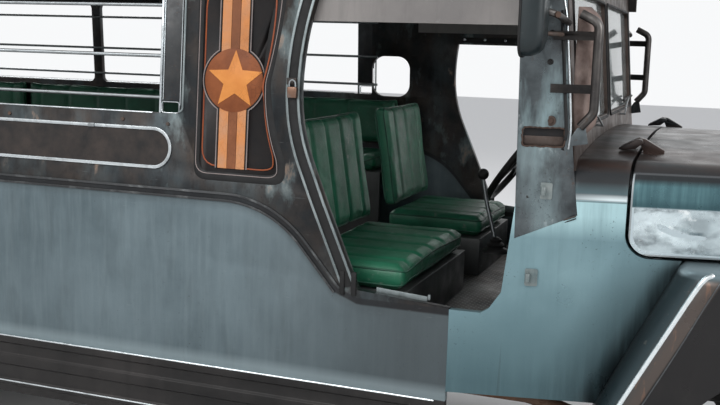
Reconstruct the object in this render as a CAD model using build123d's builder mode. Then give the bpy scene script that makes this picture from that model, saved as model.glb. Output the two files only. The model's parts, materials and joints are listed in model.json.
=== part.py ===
from build123d import *
from math import cos, radians, sin, sqrt, tan
import os

os.makedirs("parts", exist_ok=True)

# Long-bodied passenger jeepney. Millimetres, +X forward, +Y left, +Z up.
# The origin lies on the ground, half way between the front tow eyes and the rear step.

# Running fits and seats
seat_gap = 0.3
pin_gap = 0.3
free_gap = 5.0
hole_radius = 3.5
hole_spacing = 250.0

# Body
body_half = 930.0
wall = 25.0
body_rear_x = -2800.0
seam_x = 1234.0
wall_bottom_z = 590.0
knee_z = 1150.0
wall_top_z = 1980.0
lean_deg = 3.5
lean = tan(radians(lean_deg))
header_front_x = 1540.0

# Passenger windows
window_front_x = 255.0
window_length = 700.0
window_post = 50.0
window_count = 4
window_sill_z = 1391.0
window_head_z = 1800.0
window_radius = 30.0

# Front doorways
door_waist_x = 740.0
door_waist_z = 1490.0
door_bow = 900.0
door_head_right_z = 1800.0
door_head_left_z = 1640.0
door_sill_rear = (950.0, 895.0)
door_sill_front = (1322.0, 866.0)
door_front_low = (1378.0, 931.0)
door_front_mid = (1405.0, 1200.0)
door_front_top = (1392.0, 1800.0)

# Cowl and hood share one cross-section that narrows towards the grille
taper_deg = 12.0
taper = tan(radians(taper_deg))
shoulder_z = 1220.0
shoulder_radius = 100.0
crown_rise = 30.0
cowl_bottom_z = 620.0
cowl_top_rear_x = 1538.0
cowl_front_x = 1706.0
firewall_x = 1655.0
firewall = 25.0
hood_rear_x = 1716.0
hood_front_x = 2840.0
hood_bottom_z = 1062.0
hood_sheet = 10.0
hood_corner = 60.0
hinge_z = 1360.0
hinge_x = 1711.0
hinge_y = 560.0

# Windscreen and its pillars
screen_foot_x = 1555.0
screen_foot_z = 1350.0
screen_lean_deg = 5.6
screen_thickness = 35.0
screen_glass = 6.0
pillar_depth = 45.0

# Roof
roof_edge_half = body_half - 35.0
roof_edge_z = wall_top_z + 12.0
roof_rise = 220.0
roof_crown_z = roof_edge_z + roof_rise
roof_sheet = 25.0
roof_rear_x = -2870.0
roof_front_x = 1720.0

# Front fenders
fender_top_z = 1050.0
fender_bottom_z = 600.0
fender_outer_y = body_half + 20.0
fender_inner_y = 415.0
fender_foot_x = 1645.0
fender_shoulder_x = 1862.0
fender_front_x = 2840.0
fender_nose_radius = 150.0
fender_rear_round = 105.0
fender_top_round = 35.0
fender_sheet = 12.0

# Wheels
wheel_radius = 370.0
tyre_width = 190.0
rim_radius = 205.0
rim_width = 150.0
front_axle_x = 2300.0
rear_axle_x = -1380.0
wheel_y = body_half - 170.0
kingpin_y = wheel_y - 120.0
axle_z = wheel_radius
stub_radius = 22.0
kingpin_radius = 12.0
hub_inner_y = wheel_y - 60.0
front_arch_radius = 480.0
rear_arch_radius = 440.0

# Frame
rail_y = 330.0
rail_width = 60.0
rail_bottom_z = 520.0
rail_height = 120.0
rail_rear_x = -2770.0
rail_front_x = 2899.7
bearer_height = 50.0
floor_sheet = 30.0
floor_z = rail_bottom_z + rail_height + bearer_height

# Steering
column_y = body_half - 500.0
steer_centre = (1150.0, column_y, 1170.0)
column_deg = 35.0
steer_radius = 200.0
steer_rim = 14.0

rail_top_z = rail_bottom_z + rail_height
floor_top_z = floor_z + floor_sheet


def wall_y(z):
    """Outer half width of the passenger body at a height."""
    return body_half - max(0.0, z - knee_z) * lean


def cowl_half(x):
    """Outer half width of the cowl and hood at a station."""
    return body_half - (x - seam_x) * taper


roof_radius = (roof_edge_half**2 + roof_rise**2) / (2 * roof_rise)
roof_centre_z = roof_crown_z - roof_radius


def roof_under(y):
    """Height of the ceiling at a distance from the middle."""
    return roof_centre_z + sqrt((roof_radius - roof_sheet) ** 2 - y**2)


def hull_section(x, bottom, inset):
    """Cross-section of cowl or hood: flat sides, round shoulders and a crowned top."""
    half = cowl_half(x) - inset
    radius = shoulder_radius - inset
    centre = half - radius
    top = shoulder_z + radius
    corner = radius * sqrt(0.5)
    with BuildSketch(Plane.YZ.offset(x)) as section:
        with BuildLine():
            Line((-half, bottom), (-half, shoulder_z))
            ThreePointArc(
                (-half, shoulder_z), (-centre - corner, shoulder_z + corner), (-centre, top)
            )
            ThreePointArc((-centre, top), (0, top + crown_rise), (centre, top))
            ThreePointArc(
                (centre, top), (centre + corner, shoulder_z + corner), (half, shoulder_z)
            )
            Line((half, shoulder_z), (half, bottom))
            Line((half, bottom), (-half, bottom))
        make_face()
    return section.sketch


def hull_form(rear_x, front_x, bottom, inset):
    """Solid of the cowl or hood between two stations."""
    with BuildPart() as form:
        add(hull_section(rear_x, bottom, inset))
        add(hull_section(front_x, bottom, inset))
        loft(ruled=True)
    return form.part


def taper_plane(side):
    """Plane of the cowl's side, its x axis running forward; side is -1 right, 1 left."""
    slope = radians(taper_deg)
    if side < 0:
        return Plane(
            origin=(seam_x, -body_half, 0),
            x_dir=(cos(slope), sin(slope), 0),
            z_dir=(sin(slope), -cos(slope), 0),
        )
    return Plane(
        origin=(seam_x, body_half, 0),
        x_dir=(cos(slope), -sin(slope), 0),
        z_dir=(-sin(slope), -cos(slope), 0),
    )


def along_taper(point):
    """A side-view point laid on the cowl's tapered side."""
    return ((point[0] - seam_x) / cos(radians(taper_deg)), point[1])


pillar_outline = (
    (1407.0, 1091.0),
    (1405.0, 1200.0),
    (1392.0, 1799.7),
    (1511.0, 1799.7),
    (1542.0, 1433.0),
    (1569.0, 1208.0),
    (1575.0, 1166.0),
)


def pillar_form(grow):
    """Right windscreen pillar, a raked box section in the plane of the cowl's side, or its pocket."""
    with BuildPart() as form:
        with BuildSketch(taper_plane(-1)):
            with BuildLine():
                Polyline([along_taper(p) for p in pillar_outline], close=True)
            make_face()
            if grow:
                offset(amount=grow, kind=Kind.INTERSECTION)
        extrude(amount=-pillar_depth - grow)
        if grow:
            extrude(form.faces().sort_by(Axis.Y)[0], amount=grow + 1)
    return form.part


# Front doorway in side view; its head is the only height that differs side to side
def doorway_outline(head_z):
    """Closed side-view outline of a front doorway."""
    low = (785.0, 1273.0)
    foot = (936.0, 925.0)
    top_x = door_waist_x + (head_z - door_waist_z) ** 2 / (2 * door_bow)
    with BuildSketch(Plane.XZ) as outline:
        with BuildLine():
            mid_z = (head_z + door_waist_z) / 2
            mid_x = door_waist_x + (mid_z - door_waist_z) ** 2 / (2 * door_bow)
            ThreePointArc((top_x, head_z), (mid_x, mid_z), (door_waist_x, door_waist_z))
            ThreePointArc((door_waist_x, door_waist_z), (751.0, 1380.0), low)
            Polyline(
                low,
                foot,
                door_sill_rear,
                door_sill_front,
                door_front_low,
                door_front_mid,
                (door_front_top[0], head_z),
                (top_x, head_z),
            )
        make_face()
    return outline.sketch


# Ladder frame: two rails, crossmembers between them and floor bearers on top
cross_x = (-2700.0, -2100.0, -1650.0, -1100.0, -500.0, 100.0, 700.0, 1240.0, 2670.0)
bearers = (
    # station, half length
    (-2600.0, body_half - 50),
    (-1950.0, body_half - 50),
    (-850.0, body_half - 50),
    (-200.0, body_half - 50),
    (450.0, body_half - 50),
    (1100.0, body_half - 50),
    (1500.0, body_half - 105),
)
spring_half = 550.0
spring_eye_z = 490.0
spring_eye_radius = 20.0
spring_seat_z = 415.0
spring_leaf = 35.0
fender_bracket_x = (1950.0, 2740.0)
member_width = 60.0
member_depth = 80.0
member_half = rail_y - rail_width / 2 - seat_gap

with BuildPart() as frame:
    for side in (-1, 1):
        with BuildSketch(Plane.XY.offset(rail_bottom_z)):
            with Locations(((rail_front_x + rail_rear_x) / 2, side * rail_y)):
                Rectangle(rail_front_x - rail_rear_x, rail_width)
        extrude(amount=rail_height)
    with BuildSketch(Plane.XY.offset(rail_top_z + seat_gap)):
        for station, half in bearers:
            with Locations((station, 0)):
                Rectangle(member_width, 2 * half)
    extrude(amount=bearer_height - 2 * seat_gap)
    with BuildSketch(Plane.XY.offset(rail_top_z - member_depth)):
        for station in cross_x:
            with Locations((station, 0)):
                Rectangle(member_width, 2 * member_half)
    extrude(amount=member_depth)
    hanger_top = spring_eye_z + spring_eye_radius + seat_gap
    with BuildSketch(Plane.XY.offset(hanger_top)):
        for axle_x in (front_axle_x, rear_axle_x):
            for end in (-1, 1):
                with Locations((axle_x + end * spring_half, -rail_y), (axle_x + end * spring_half, rail_y)):
                    Rectangle(member_width, rail_width)
    extrude(amount=rail_bottom_z - hanger_top)
    bracket_length = fender_inner_y - seat_gap - rail_y
    with BuildSketch(Plane.XY.offset(fender_bottom_z)):
        for side in (-1, 1):
            for station in fender_bracket_x:
                with Locations((station, side * (rail_y + bracket_length / 2))):
                    Rectangle(member_width, bracket_length)
    extrude(amount=rail_top_z - fender_bottom_z)
frame.part.label = "frame"
export_step(frame.part, "parts/frame.step")

# Leaf spring packs, eyes hung from the rails and seated on the axle pads
with BuildPart() as leaf_springs:
    for axle_x in (front_axle_x, rear_axle_x):
        for side in (-1, 1):
            with BuildSketch(Plane.XZ.offset(side * rail_y)):
                with BuildLine():
                    low = spring_seat_z + seat_gap
                    eye = spring_eye_z - spring_leaf / 2
                    ThreePointArc(
                        (axle_x - spring_half, eye), (axle_x, low), (axle_x + spring_half, eye)
                    )
                    Line((axle_x + spring_half, eye), (axle_x + spring_half, eye + spring_leaf / 2))
                    ThreePointArc(
                        (axle_x + spring_half, eye + spring_leaf / 2),
                        (axle_x, low + spring_leaf),
                        (axle_x - spring_half, eye + spring_leaf / 2),
                    )
                    Line((axle_x - spring_half, eye + spring_leaf / 2), (axle_x - spring_half, eye))
                make_face()
                with Locations((axle_x - spring_half, spring_eye_z), (axle_x + spring_half, spring_eye_z)):
                    Circle(spring_eye_radius)
            extrude(amount=rail_width / 2, both=True)
leaf_springs.part.label = "leaf_springs"
export_step(leaf_springs.part, "parts/leaf_springs.step")

# Front axle beam with kingpin eyes and spring pads
beam_height = 70.0
beam_width = 60.0
eye_radius = 30.0
with BuildPart() as front_axle:
    with BuildSketch(Plane.XY.offset(axle_z - beam_height / 2)):
        with Locations((front_axle_x, 0)):
            Rectangle(beam_width, 2 * kingpin_y)
        with Locations((front_axle_x, -kingpin_y), (front_axle_x, kingpin_y)):
            Circle(eye_radius)
    extrude(amount=beam_height)
    with BuildSketch(Plane.XY.offset(axle_z)):
        with Locations((front_axle_x, -rail_y), (front_axle_x, rail_y)):
            Rectangle(120, rail_width)
    extrude(amount=spring_seat_z - axle_z)
    with BuildSketch(Plane.XY):
        with Locations((front_axle_x, -kingpin_y), (front_axle_x, kingpin_y)):
            Circle(kingpin_radius + pin_gap)
    extrude(amount=axle_z + beam_height, mode=Mode.SUBTRACT)
front_axle.part.label = "front_axle"
export_step(front_axle.part, "parts/front_axle.step")

# Rear axle: tube, differential housing, stubs and spring pads
tube_radius = 40.0
housing_radius = 130.0
with BuildPart() as rear_axle:
    with BuildSketch(Plane.XZ):
        with Locations((rear_axle_x, axle_z)):
            Circle(tube_radius)
    extrude(amount=hub_inner_y - 10, both=True)
    with BuildSketch(Plane.XZ):
        with Locations((rear_axle_x, axle_z)):
            Circle(stub_radius)
    extrude(amount=wheel_y + 40, both=True)
    with Locations((rear_axle_x, 0, axle_z)):
        Sphere(housing_radius)
    with BuildSketch(Plane.YZ.offset(rear_axle_x)):
        with Locations((0, axle_z + 30)):
            Circle(55)
    extrude(amount=housing_radius + 20)
    with BuildSketch(Plane.XY.offset(axle_z)):
        with Locations((rear_axle_x, -rail_y), (rear_axle_x, rail_y)):
            Rectangle(120, rail_width)
    extrude(amount=spring_seat_z - axle_z)
rear_axle.part.label = "rear_axle"
export_step(rear_axle.part, "parts/rear_axle.step")

# Engine with gearbox behind it, one plain mass on its mounts
engine_half = 260.0
engine_bottom_z = 480.0
engine_height = 670.0
gearbox_rear_x = 1310.0
gearbox_width = 300.0
gearbox_bottom_z = 440.0
engine_rear_x = 1780.0
engine_front_x = 2430.0
mount_x = 2080.0
mount_width = 90.0
mount_depth = 60.0
with BuildPart() as engine:
    with BuildSketch(Plane.XY.offset(engine_bottom_z)):
        with Locations(((engine_rear_x + engine_front_x) / 2, 0)):
            Rectangle(engine_front_x - engine_rear_x, 2 * engine_half)
    extrude(amount=engine_height)
    with BuildSketch(Plane.XY.offset(gearbox_bottom_z)):
        with Locations(((gearbox_rear_x + engine_rear_x) / 2, 0)):
            Rectangle(engine_rear_x - gearbox_rear_x, gearbox_width)
    extrude(amount=rail_top_z - free_gap - gearbox_bottom_z)
    with BuildSketch(Plane.XY.offset(rail_top_z - 2 * free_gap - mount_depth - 10)):
        with Locations((mount_x, 0)):
            Rectangle(mount_width, 2 * member_half)
    extrude(amount=mount_depth)
engine.part.label = "engine"
export_step(engine.part, "parts/engine.step")

# Radiator standing on the front crossmember
core_depth = 56.0
core_width = 540.0
core_height = 520.0
with BuildPart() as radiator:
    with BuildSketch(Plane.XY.offset(rail_top_z + seat_gap)):
        with Locations((cross_x[-1], 0)):
            Rectangle(core_depth, core_width)
    extrude(amount=core_height)
radiator.part.label = "radiator"
export_step(radiator.part, "parts/radiator.step")

# Propeller shaft from gearbox to differential
shaft_radius = 35.0
flange_radius = 50.0
flange_depth = 20.0
shaft_front_z = 500.0
shaft_front = Vector(gearbox_rear_x - seat_gap, 0, shaft_front_z)
shaft_rear = Vector(rear_axle_x + housing_radius + 20 + seat_gap, 0, axle_z + 30)
with BuildPart() as propshaft:
    shaft_run = shaft_rear - shaft_front
    with BuildSketch(Plane(origin=shaft_front, z_dir=shaft_run).offset(5)):
        Circle(shaft_radius)
    extrude(amount=shaft_run.length - 10)
    with BuildSketch(Plane.YZ.offset(shaft_front.X)):
        with Locations((0, shaft_front.Z)):
            Circle(flange_radius)
    extrude(amount=-flange_depth)
    with BuildSketch(Plane.YZ.offset(shaft_rear.X)):
        with Locations((0, shaft_rear.Z)):
            Circle(flange_radius)
    extrude(amount=flange_depth)
propshaft.part.label = "propshaft"
export_step(propshaft.part, "parts/propshaft.step")

# Exhaust: downpipe, silencer and tail pipe along the right rail
pipe_radius = 25.0
pipe_y = -460.0
pipe_z = 480.0
pipe_low_z = 400.0
manifold_x = 1900.0
manifold_y = -200.0
silencer_length = 520.0
with BuildPart() as exhaust:
    with BuildLine():
        FilletPolyline(
            (manifold_x, manifold_y, engine_bottom_z - seat_gap),
            (manifold_x, manifold_y, pipe_low_z),
            (manifold_x - 200, pipe_y, pipe_low_z),
            (manifold_x - 500, pipe_y, pipe_z),
            (body_rear_x + 10, pipe_y, pipe_z),
            radius=[40, 60, 120],
        )
    with BuildSketch(Plane.XY.offset(engine_bottom_z - seat_gap)):
        with Locations((manifold_x, manifold_y)):
            Circle(pipe_radius)
    sweep()
    with BuildSketch(Plane.YZ):
        with Locations((pipe_y, pipe_z)):
            Ellipse(80, 60)
    extrude(amount=silencer_length)
    with BuildSketch(Plane.XY.offset(pipe_z)):
        with Locations((bearers[1][0], pipe_y), (bearers[2][0], pipe_y), (bearers[5][0], pipe_y)):
            Rectangle(30, 12)
    extrude(amount=rail_top_z - seat_gap - pipe_z)
exhaust.part.label = "exhaust"
export_step(exhaust.part, "parts/exhaust.step")

# Fuel tank strapped under two bearers on the left
tank_rear_x = -900.0
tank_length = 740.0
tank_y = 520.0
tank_width = 240.0
tank_mid_z = 545.0
with BuildPart() as fuel_tank:
    with BuildSketch(Plane.YZ.offset(tank_rear_x)):
        with Locations((tank_y, tank_mid_z)):
            RectangleRounded(tank_width, 2 * (rail_top_z - seat_gap - tank_mid_z), 40)
    extrude(amount=tank_length)
fuel_tank.part.label = "fuel_tank"
export_step(fuel_tank.part, "parts/fuel_tank.step")

# Floor pan with wheel boxes; it narrows with the cowl
box_top_z = 850.0
box_inner_y = wheel_y - 140.0
box_half = 452.0
box_sheet = 12.0
floor_half = body_half - wall - seat_gap
floor_front_x = firewall_x - seat_gap
floor_front_half = cowl_half(floor_front_x) - wall - seat_gap
floor_rear_x = body_rear_x + wall + seat_gap
with BuildPart() as floor:
    with BuildSketch(Plane.XY.offset(floor_z)):
        with BuildLine():
            Polyline(
                (floor_rear_x, -floor_half),
                (seam_x, -floor_half),
                (floor_front_x, -floor_front_half),
                (floor_front_x, floor_front_half),
                (seam_x, floor_half),
                (floor_rear_x, floor_half),
                close=True,
            )
        make_face()
    extrude(amount=floor_sheet)
    for side in (-1, 1):
        with BuildSketch(Plane.XY.offset(floor_z)):
            with Locations((rear_axle_x, side * (box_inner_y + floor_half) / 2)):
                Rectangle(2 * box_half, floor_half - box_inner_y)
        extrude(amount=box_top_z - floor_z)
        with BuildSketch(Plane.XY.offset(floor_z)):
            with Locations((rear_axle_x, side * (box_inner_y + box_sheet + body_half) / 2)):
                Rectangle(2 * (box_half - box_sheet), body_half - box_inner_y - box_sheet)
        extrude(amount=box_top_z - box_sheet - floor_z, mode=Mode.SUBTRACT)
floor.part.label = "floor"
export_step(floor.part, "parts/floor.step")

# Star window on the right-hand side: a waisted opening beside the doorway
star_rear_x = 402.0
star_top_z = 1790.0
star_bottom_z = 1203.0
star_recess = 9.0
star_sheet = 10.0


def star_outline(inset):
    """Side-view outline of the waisted window ahead of the passenger windows."""
    with BuildSketch(Plane.XZ) as outline:
        with BuildLine():
            Polyline((621, 1503), (star_rear_x, 1503), (star_rear_x, star_top_z), (660, star_top_z), (651, 1749))
            ThreePointArc((651, 1749), (627, 1625), (621, 1503))
        make_face()
        with BuildLine():
            ThreePointArc((621, 1503), (648, 1385), (694, 1255))
            Polyline((694, 1255), (690, star_bottom_z), (star_rear_x, star_bottom_z), (star_rear_x, 1503), (621, 1503))
        make_face()
        fillet(outline.vertices().group_by(Axis.Y)[0], 38)
        fillet(outline.vertices().group_by(Axis.Y)[-1], 30)
        if inset:
            offset(amount=-inset)
    return outline.sketch


# Side walls, one pressing each, with windows and doorway cut
wall_section = (
    (-body_half, wall_bottom_z),
    (-body_half, knee_z),
    (-wall_y(wall_top_z), wall_top_z),
    (-wall_y(wall_top_z) + wall, wall_top_z),
    (-body_half + wall, knee_z),
    (-body_half + wall, wall_bottom_z),
)
window_x = [
    window_front_x - window_length / 2 - i * (window_length + window_post) for i in range(window_count)
]
window_mid_z = (window_sill_z + window_head_z) / 2
cut_depth = 120.0
channel_width = 75.0
channel_foot_z = 1430.0


def wall_form(head_z):
    """Right-handed side wall before its quarter window is cut."""
    with BuildPart() as form:
        with BuildSketch(Plane.YZ.offset(body_rear_x)):
            with BuildLine():
                Polyline(wall_section, close=True)
            make_face()
        extrude(amount=header_front_x - body_rear_x)
        with BuildSketch(Plane.XZ.offset(body_half - cut_depth)):
            for x in window_x:
                with Locations((x, window_mid_z)):
                    RectangleRounded(window_length, window_head_z - window_sill_z, window_radius)
            with Locations((window_front_x + channel_width / 2 - window_radius, window_mid_z)):
                RectangleRounded(channel_width + 2 * window_radius, window_head_z - window_sill_z, 8)
            with Locations((rear_axle_x, axle_z)):
                Circle(rear_arch_radius)
            add(doorway_outline(head_z))
            pillar_x = door_front_top[0] - pillar_depth * sin(radians(taper_deg)) - 1
            for rear, front, head in (
                (seam_x, pillar_x, head_z),
                (pillar_x, header_front_x + 10, window_head_z),
            ):
                with Locations(((rear + front) / 2, (wall_bottom_z - 10 + head) / 2)):
                    Rectangle(front - rear, head - wall_bottom_z + 10)
        extrude(amount=2 * cut_depth, mode=Mode.SUBTRACT)
    return form.part


right_wall_form = wall_form(door_head_right_z)
left_wall_form = wall_form(door_head_left_z)
with BuildPart() as side_panel_right:
    add(right_wall_form)
    with BuildSketch(Plane.XZ.offset(body_half - cut_depth)):
        add(star_outline(0))
    extrude(amount=2 * cut_depth, mode=Mode.SUBTRACT)
side_panel_right.part.label = "side_panel_right"
export_step(side_panel_right.part, "parts/side_panel_right.step")

with BuildPart() as left_blank:
    add(left_wall_form)
    with BuildSketch(Plane.XZ.offset(body_half - cut_depth)):
        with Locations((425, 1480)):
            RectangleRounded(190, 190, 60)
    extrude(amount=2 * cut_depth, mode=Mode.SUBTRACT)
with BuildPart() as side_panel_left:
    mirror(left_blank.part, about=Plane.XZ)
side_panel_left.part.label = "side_panel_left"
export_step(side_panel_left.part, "parts/side_panel_left.step")



def wall_layer(out, depth):
    """Thin layer that follows the right wall, its outer face standing proud by out."""
    with BuildPart() as layer:
        with BuildSketch(Plane.YZ.offset(body_rear_x)):
            with BuildLine():
                Polyline(
                    (-body_half - out, wall_bottom_z),
                    (-body_half - out, knee_z),
                    (-wall_y(wall_top_z) - out, wall_top_z),
                    (-wall_y(wall_top_z) - out + depth, wall_top_z),
                    (-body_half - out + depth, knee_z),
                    (-body_half - out + depth, wall_bottom_z),
                    close=True,
                )
            make_face()
        extrude(amount=seam_x - body_rear_x)
    return layer.part


# Star panel that fills the waisted window, tilted with the wall
with BuildPart() as star_panel:
    with BuildSketch(Plane.XZ.offset(body_half - cut_depth)):
        add(star_outline(seat_gap))
    extrude(amount=2 * cut_depth)
    add(wall_layer(-star_recess, star_sheet), mode=Mode.INTERSECT)
star_panel.part.label = "star_panel"
export_step(star_panel.part, "parts/star_panel.step")

# Upright channel that closes the front end of the foremost window, with a bright edge strip
channel_recess = 8.0
channel_sheet = 12.0
edge_strip = 7.0
with BuildPart() as window_channels:
    front = window_front_x + channel_width - seat_gap
    top = window_head_z - seat_gap
    with BuildSketch(Plane.XZ.offset(body_half - cut_depth)):
        with Locations(((window_front_x + front) / 2, (channel_foot_z + top) / 2)):
            RectangleRounded(front - window_front_x, top - channel_foot_z, 7)
    extrude(amount=2 * cut_depth)
    add(wall_layer(-channel_recess, channel_sheet), mode=Mode.INTERSECT)
    with BuildPart(mode=Mode.PRIVATE) as strip:
        with BuildSketch(Plane.XZ.offset(body_half - cut_depth)):
            with Locations((window_front_x + edge_strip / 2, window_mid_z)):
                Rectangle(edge_strip, window_head_z - window_sill_z - 2 * seat_gap)
        extrude(amount=2 * cut_depth)
        add(wall_layer(0, channel_recess + channel_sheet), mode=Mode.INTERSECT)
    add(strip.part)
    mirror(about=Plane.XZ)
window_channels.part.label = "window_channels"
export_step(window_channels.part, "parts/window_channels.step")

# Bright mouldings pressed on the walls: long loops, crease lines and doorway beads
bead = 5.0
loop_low_z = 1214.0
loop_high_z = 1346.0
moulding_loops = (
    # rear end, front end
    (-1220.0, 307.0),
    (-2700.0, -1300.0),
)
crease_z = 1130.0
crease_rear_x = -2790.0
crease_turn_x = 500.0
crease_radius = 343.0
crease_deg = 49.0
crease_run = 175.0
crease_steps = (0.0, 22.0)
jamb_steps = (1.0, 38.0)
jamb_low_z = 908.0


def crease_field(rise):
    """Side-view area under the crease line when the line is lifted by rise."""
    turn = radians(crease_deg)
    centre_z = crease_z - crease_radius
    reach = crease_radius + rise
    bend = (crease_turn_x + reach * sin(turn), centre_z + reach * cos(turn))
    end = (bend[0] + crease_run * cos(turn), bend[1] - crease_run * sin(turn))
    inner = (crease_turn_x + crease_run * cos(turn), centre_z - crease_run * sin(turn))
    with BuildSketch(Plane.XZ) as field:
        with BuildLine():
            Line((crease_rear_x, centre_z), (crease_rear_x, crease_z + rise))
            Line((crease_rear_x, crease_z + rise), (crease_turn_x, crease_z + rise))
            ThreePointArc(
                (crease_turn_x, crease_z + rise),
                (crease_turn_x + reach * sin(turn / 2), centre_z + reach * cos(turn / 2)),
                bend,
            )
            Polyline(bend, end, inner, (crease_rear_x, centre_z))
        make_face()
    return field.sketch


def jamb_field(head_z, step):
    """Doorway outline let out by a step, cut to its rear edge."""
    with BuildSketch(Plane.XZ) as field:
        add(doorway_outline(head_z))
        offset(amount=step, kind=Kind.INTERSECTION)
        with Locations((door_waist_x, (jamb_low_z + head_z) / 2)):
            Rectangle(2 * (door_sill_rear[0] - door_waist_x), head_z - jamb_low_z, mode=Mode.INTERSECT)
    return field.sketch


def mouldings_form(head_z):
    """Right-handed set of wall mouldings for a doorway of the given head height."""
    with BuildPart() as form:
        with BuildSketch(Plane.XZ.offset(body_half - cut_depth)):
            for rear, front in moulding_loops:
                with Locations(((rear + front) / 2, (loop_low_z + loop_high_z) / 2)):
                    SlotOverall(front - rear, loop_high_z - loop_low_z)
                    SlotOverall(front - rear - 4 * bead, loop_high_z - loop_low_z - 4 * bead, mode=Mode.SUBTRACT)
            for rise in crease_steps:
                add(crease_field(rise + bead) - crease_field(rise - bead / 2))
            for step in jamb_steps:
                add(jamb_field(head_z, step + 1.5 * bead) - jamb_field(head_z, step))
        extrude(amount=2 * cut_depth)
        add(wall_layer(seat_gap + bead, bead), mode=Mode.INTERSECT)
    return form.part


# Hinge lugs left on the cowl's side by the missing front doors
lug_sites = (
    # station, height, width, length
    (1487.0, 1232.0, 33.0, 47.0),
    (1459.0, 981.0, 36.0, 50.0),
)
lug_plate = 6.0
lug_barrel = 8.0
lug_pin = 3.0
with BuildPart() as hinge_lugs:
    for station, height, width, length in lug_sites:
        with BuildSketch(taper_plane(-1).offset(seat_gap)):
            with Locations(along_taper((station, height))):
                RectangleRounded(width, length, 5)
        extrude(amount=lug_plate)
        spot = along_taper((station - width / 2 + lug_barrel, height))
        barrel_at = taper_plane(-1).from_local_coords((spot[0], spot[1], seat_gap + lug_plate + lug_barrel - 2))
        with BuildSketch(Plane.XY.offset(height - length / 4)):
            with Locations((barrel_at.X, barrel_at.Y)):
                Circle(lug_barrel)
                Circle(lug_pin, mode=Mode.SUBTRACT)
        extrude(amount=length / 2)

with BuildPart() as mouldings:
    add(mouldings_form(door_head_right_z))
    add(hinge_lugs.part)
    add(mouldings_form(door_head_left_z).mirror(Plane.XZ))
    add(hinge_lugs.part.mirror(Plane.XZ))
mouldings.part.label = "mouldings"
export_step(mouldings.part, "parts/mouldings.step")

# Ribbed skirts under the side walls
skirt_bottom_z = 380.0
skirt_front_x = seam_x - seat_gap
rib_profile = (
    # offset in from the side, height
    (0.0, wall_bottom_z - seat_gap),
    (0.0, 562.0),
    (8.0, 556.0),
    (8.0, 522.0),
    (0.0, 516.0),
    (0.0, 484.0),
    (8.0, 478.0),
    (8.0, 430.0),
    (0.0, 424.0),
    (0.0, 412.0),
    (8.0, 406.0),
    (8.0, skirt_bottom_z),
    (24.0, skirt_bottom_z),
    (24.0, wall_bottom_z - seat_gap),
)
with BuildPart() as skirts:
    with BuildSketch(Plane.YZ.offset(body_rear_x)):
        with BuildLine():
            Polyline([(-body_half + depth, z) for depth, z in rib_profile], close=True)
        make_face()
    extrude(amount=skirt_front_x - body_rear_x)
    with BuildSketch(Plane.XZ.offset(body_half - cut_depth)):
        with Locations((rear_axle_x, axle_z)):
            Circle(rear_arch_radius)
    extrude(amount=2 * cut_depth, mode=Mode.SUBTRACT)
    mirror(about=Plane.XZ)
skirts.part.label = "skirts"
export_step(skirts.part, "parts/skirts.step")

# Window guard rods, welded along the posts' inner faces
guard_z = (1438.0, 1570.0, 1730.0)
guard_radius = 6.0
guard_rear_x = window_x[-1] - window_length / 2 - 30
guard_front_x = window_front_x + channel_width + 30
with BuildPart() as window_bars:
    with BuildSketch(Plane.YZ.offset(guard_rear_x)):
        for z in guard_z:
            y = wall_y(z + guard_radius) - wall - guard_radius - seat_gap
            with Locations((-y, z), (y, z)):
                Circle(guard_radius)
    extrude(amount=guard_front_x - guard_rear_x)
window_bars.part.label = "window_bars"
export_step(window_bars.part, "parts/window_bars.step")

# Rear wall between the side walls, with the entrance and two windows
entry_half = 350.0
entry_head_z = 1930.0
back_window_y = body_half - 330.0
plate_y = -back_window_y
plate_z = 800.0
with BuildPart() as rear_wall:
    under_radius = roof_radius - roof_sheet - seat_gap
    low_half = body_half - wall - seat_gap
    top_half = wall_y(wall_top_z) - wall - seat_gap
    top_z = roof_centre_z + sqrt(under_radius**2 - top_half**2)
    with BuildSketch(Plane.YZ.offset(body_rear_x)):
        with BuildLine():
            Polyline(
                (-top_half, top_z),
                (-top_half, wall_top_z),
                (-low_half, knee_z),
                (-low_half, wall_bottom_z),
                (low_half, wall_bottom_z),
                (low_half, knee_z),
                (top_half, wall_top_z),
                (top_half, top_z),
            )
            ThreePointArc((top_half, top_z), (0, roof_centre_z + under_radius), (-top_half, top_z))
        make_face()
        with Locations((0, (floor_top_z + entry_head_z) / 2)):
            RectangleRounded(2 * entry_half, entry_head_z - floor_top_z, 60, mode=Mode.SUBTRACT)
        with Locations((-back_window_y, window_mid_z), (back_window_y, window_mid_z)):
            RectangleRounded(340, 400, 50, mode=Mode.SUBTRACT)
        with Locations((plate_y - hole_spacing / 2, plate_z), (plate_y + hole_spacing / 2, plate_z)):
            Circle(hole_radius, mode=Mode.SUBTRACT)
    extrude(amount=wall)
rear_wall.part.label = "rear_wall"
export_step(rear_wall.part, "parts/rear_wall.step")

# Rear entrance step hung on the rear wall between two cheek plates
step_rear_x = -3050.0
step_front_x = body_rear_x - seat_gap
step_z = 400.0
step_tread = 25.0
step_half = 450.0
cheek = 15.0
cheek_top_z = 660.0
with BuildPart() as rear_step:
    with BuildSketch(Plane.XY.offset(step_z)):
        with Locations(((step_rear_x + step_front_x) / 2, 0)):
            Rectangle(step_front_x - step_rear_x, 2 * step_half)
    extrude(amount=step_tread)
    with BuildSketch(Plane.XZ.offset(-step_half)):
        with BuildLine():
            Polyline(
                (step_front_x, step_z),
                (step_front_x, cheek_top_z),
                (step_front_x - 40, cheek_top_z),
                (step_rear_x + 20, step_z + step_tread),
                (step_rear_x + 20, step_z),
                close=True,
            )
        make_face()
    extrude(amount=cheek)
    mirror(about=Plane.XZ)
rear_step.part.label = "rear_step"
export_step(rear_step.part, "parts/rear_step.step")

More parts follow.
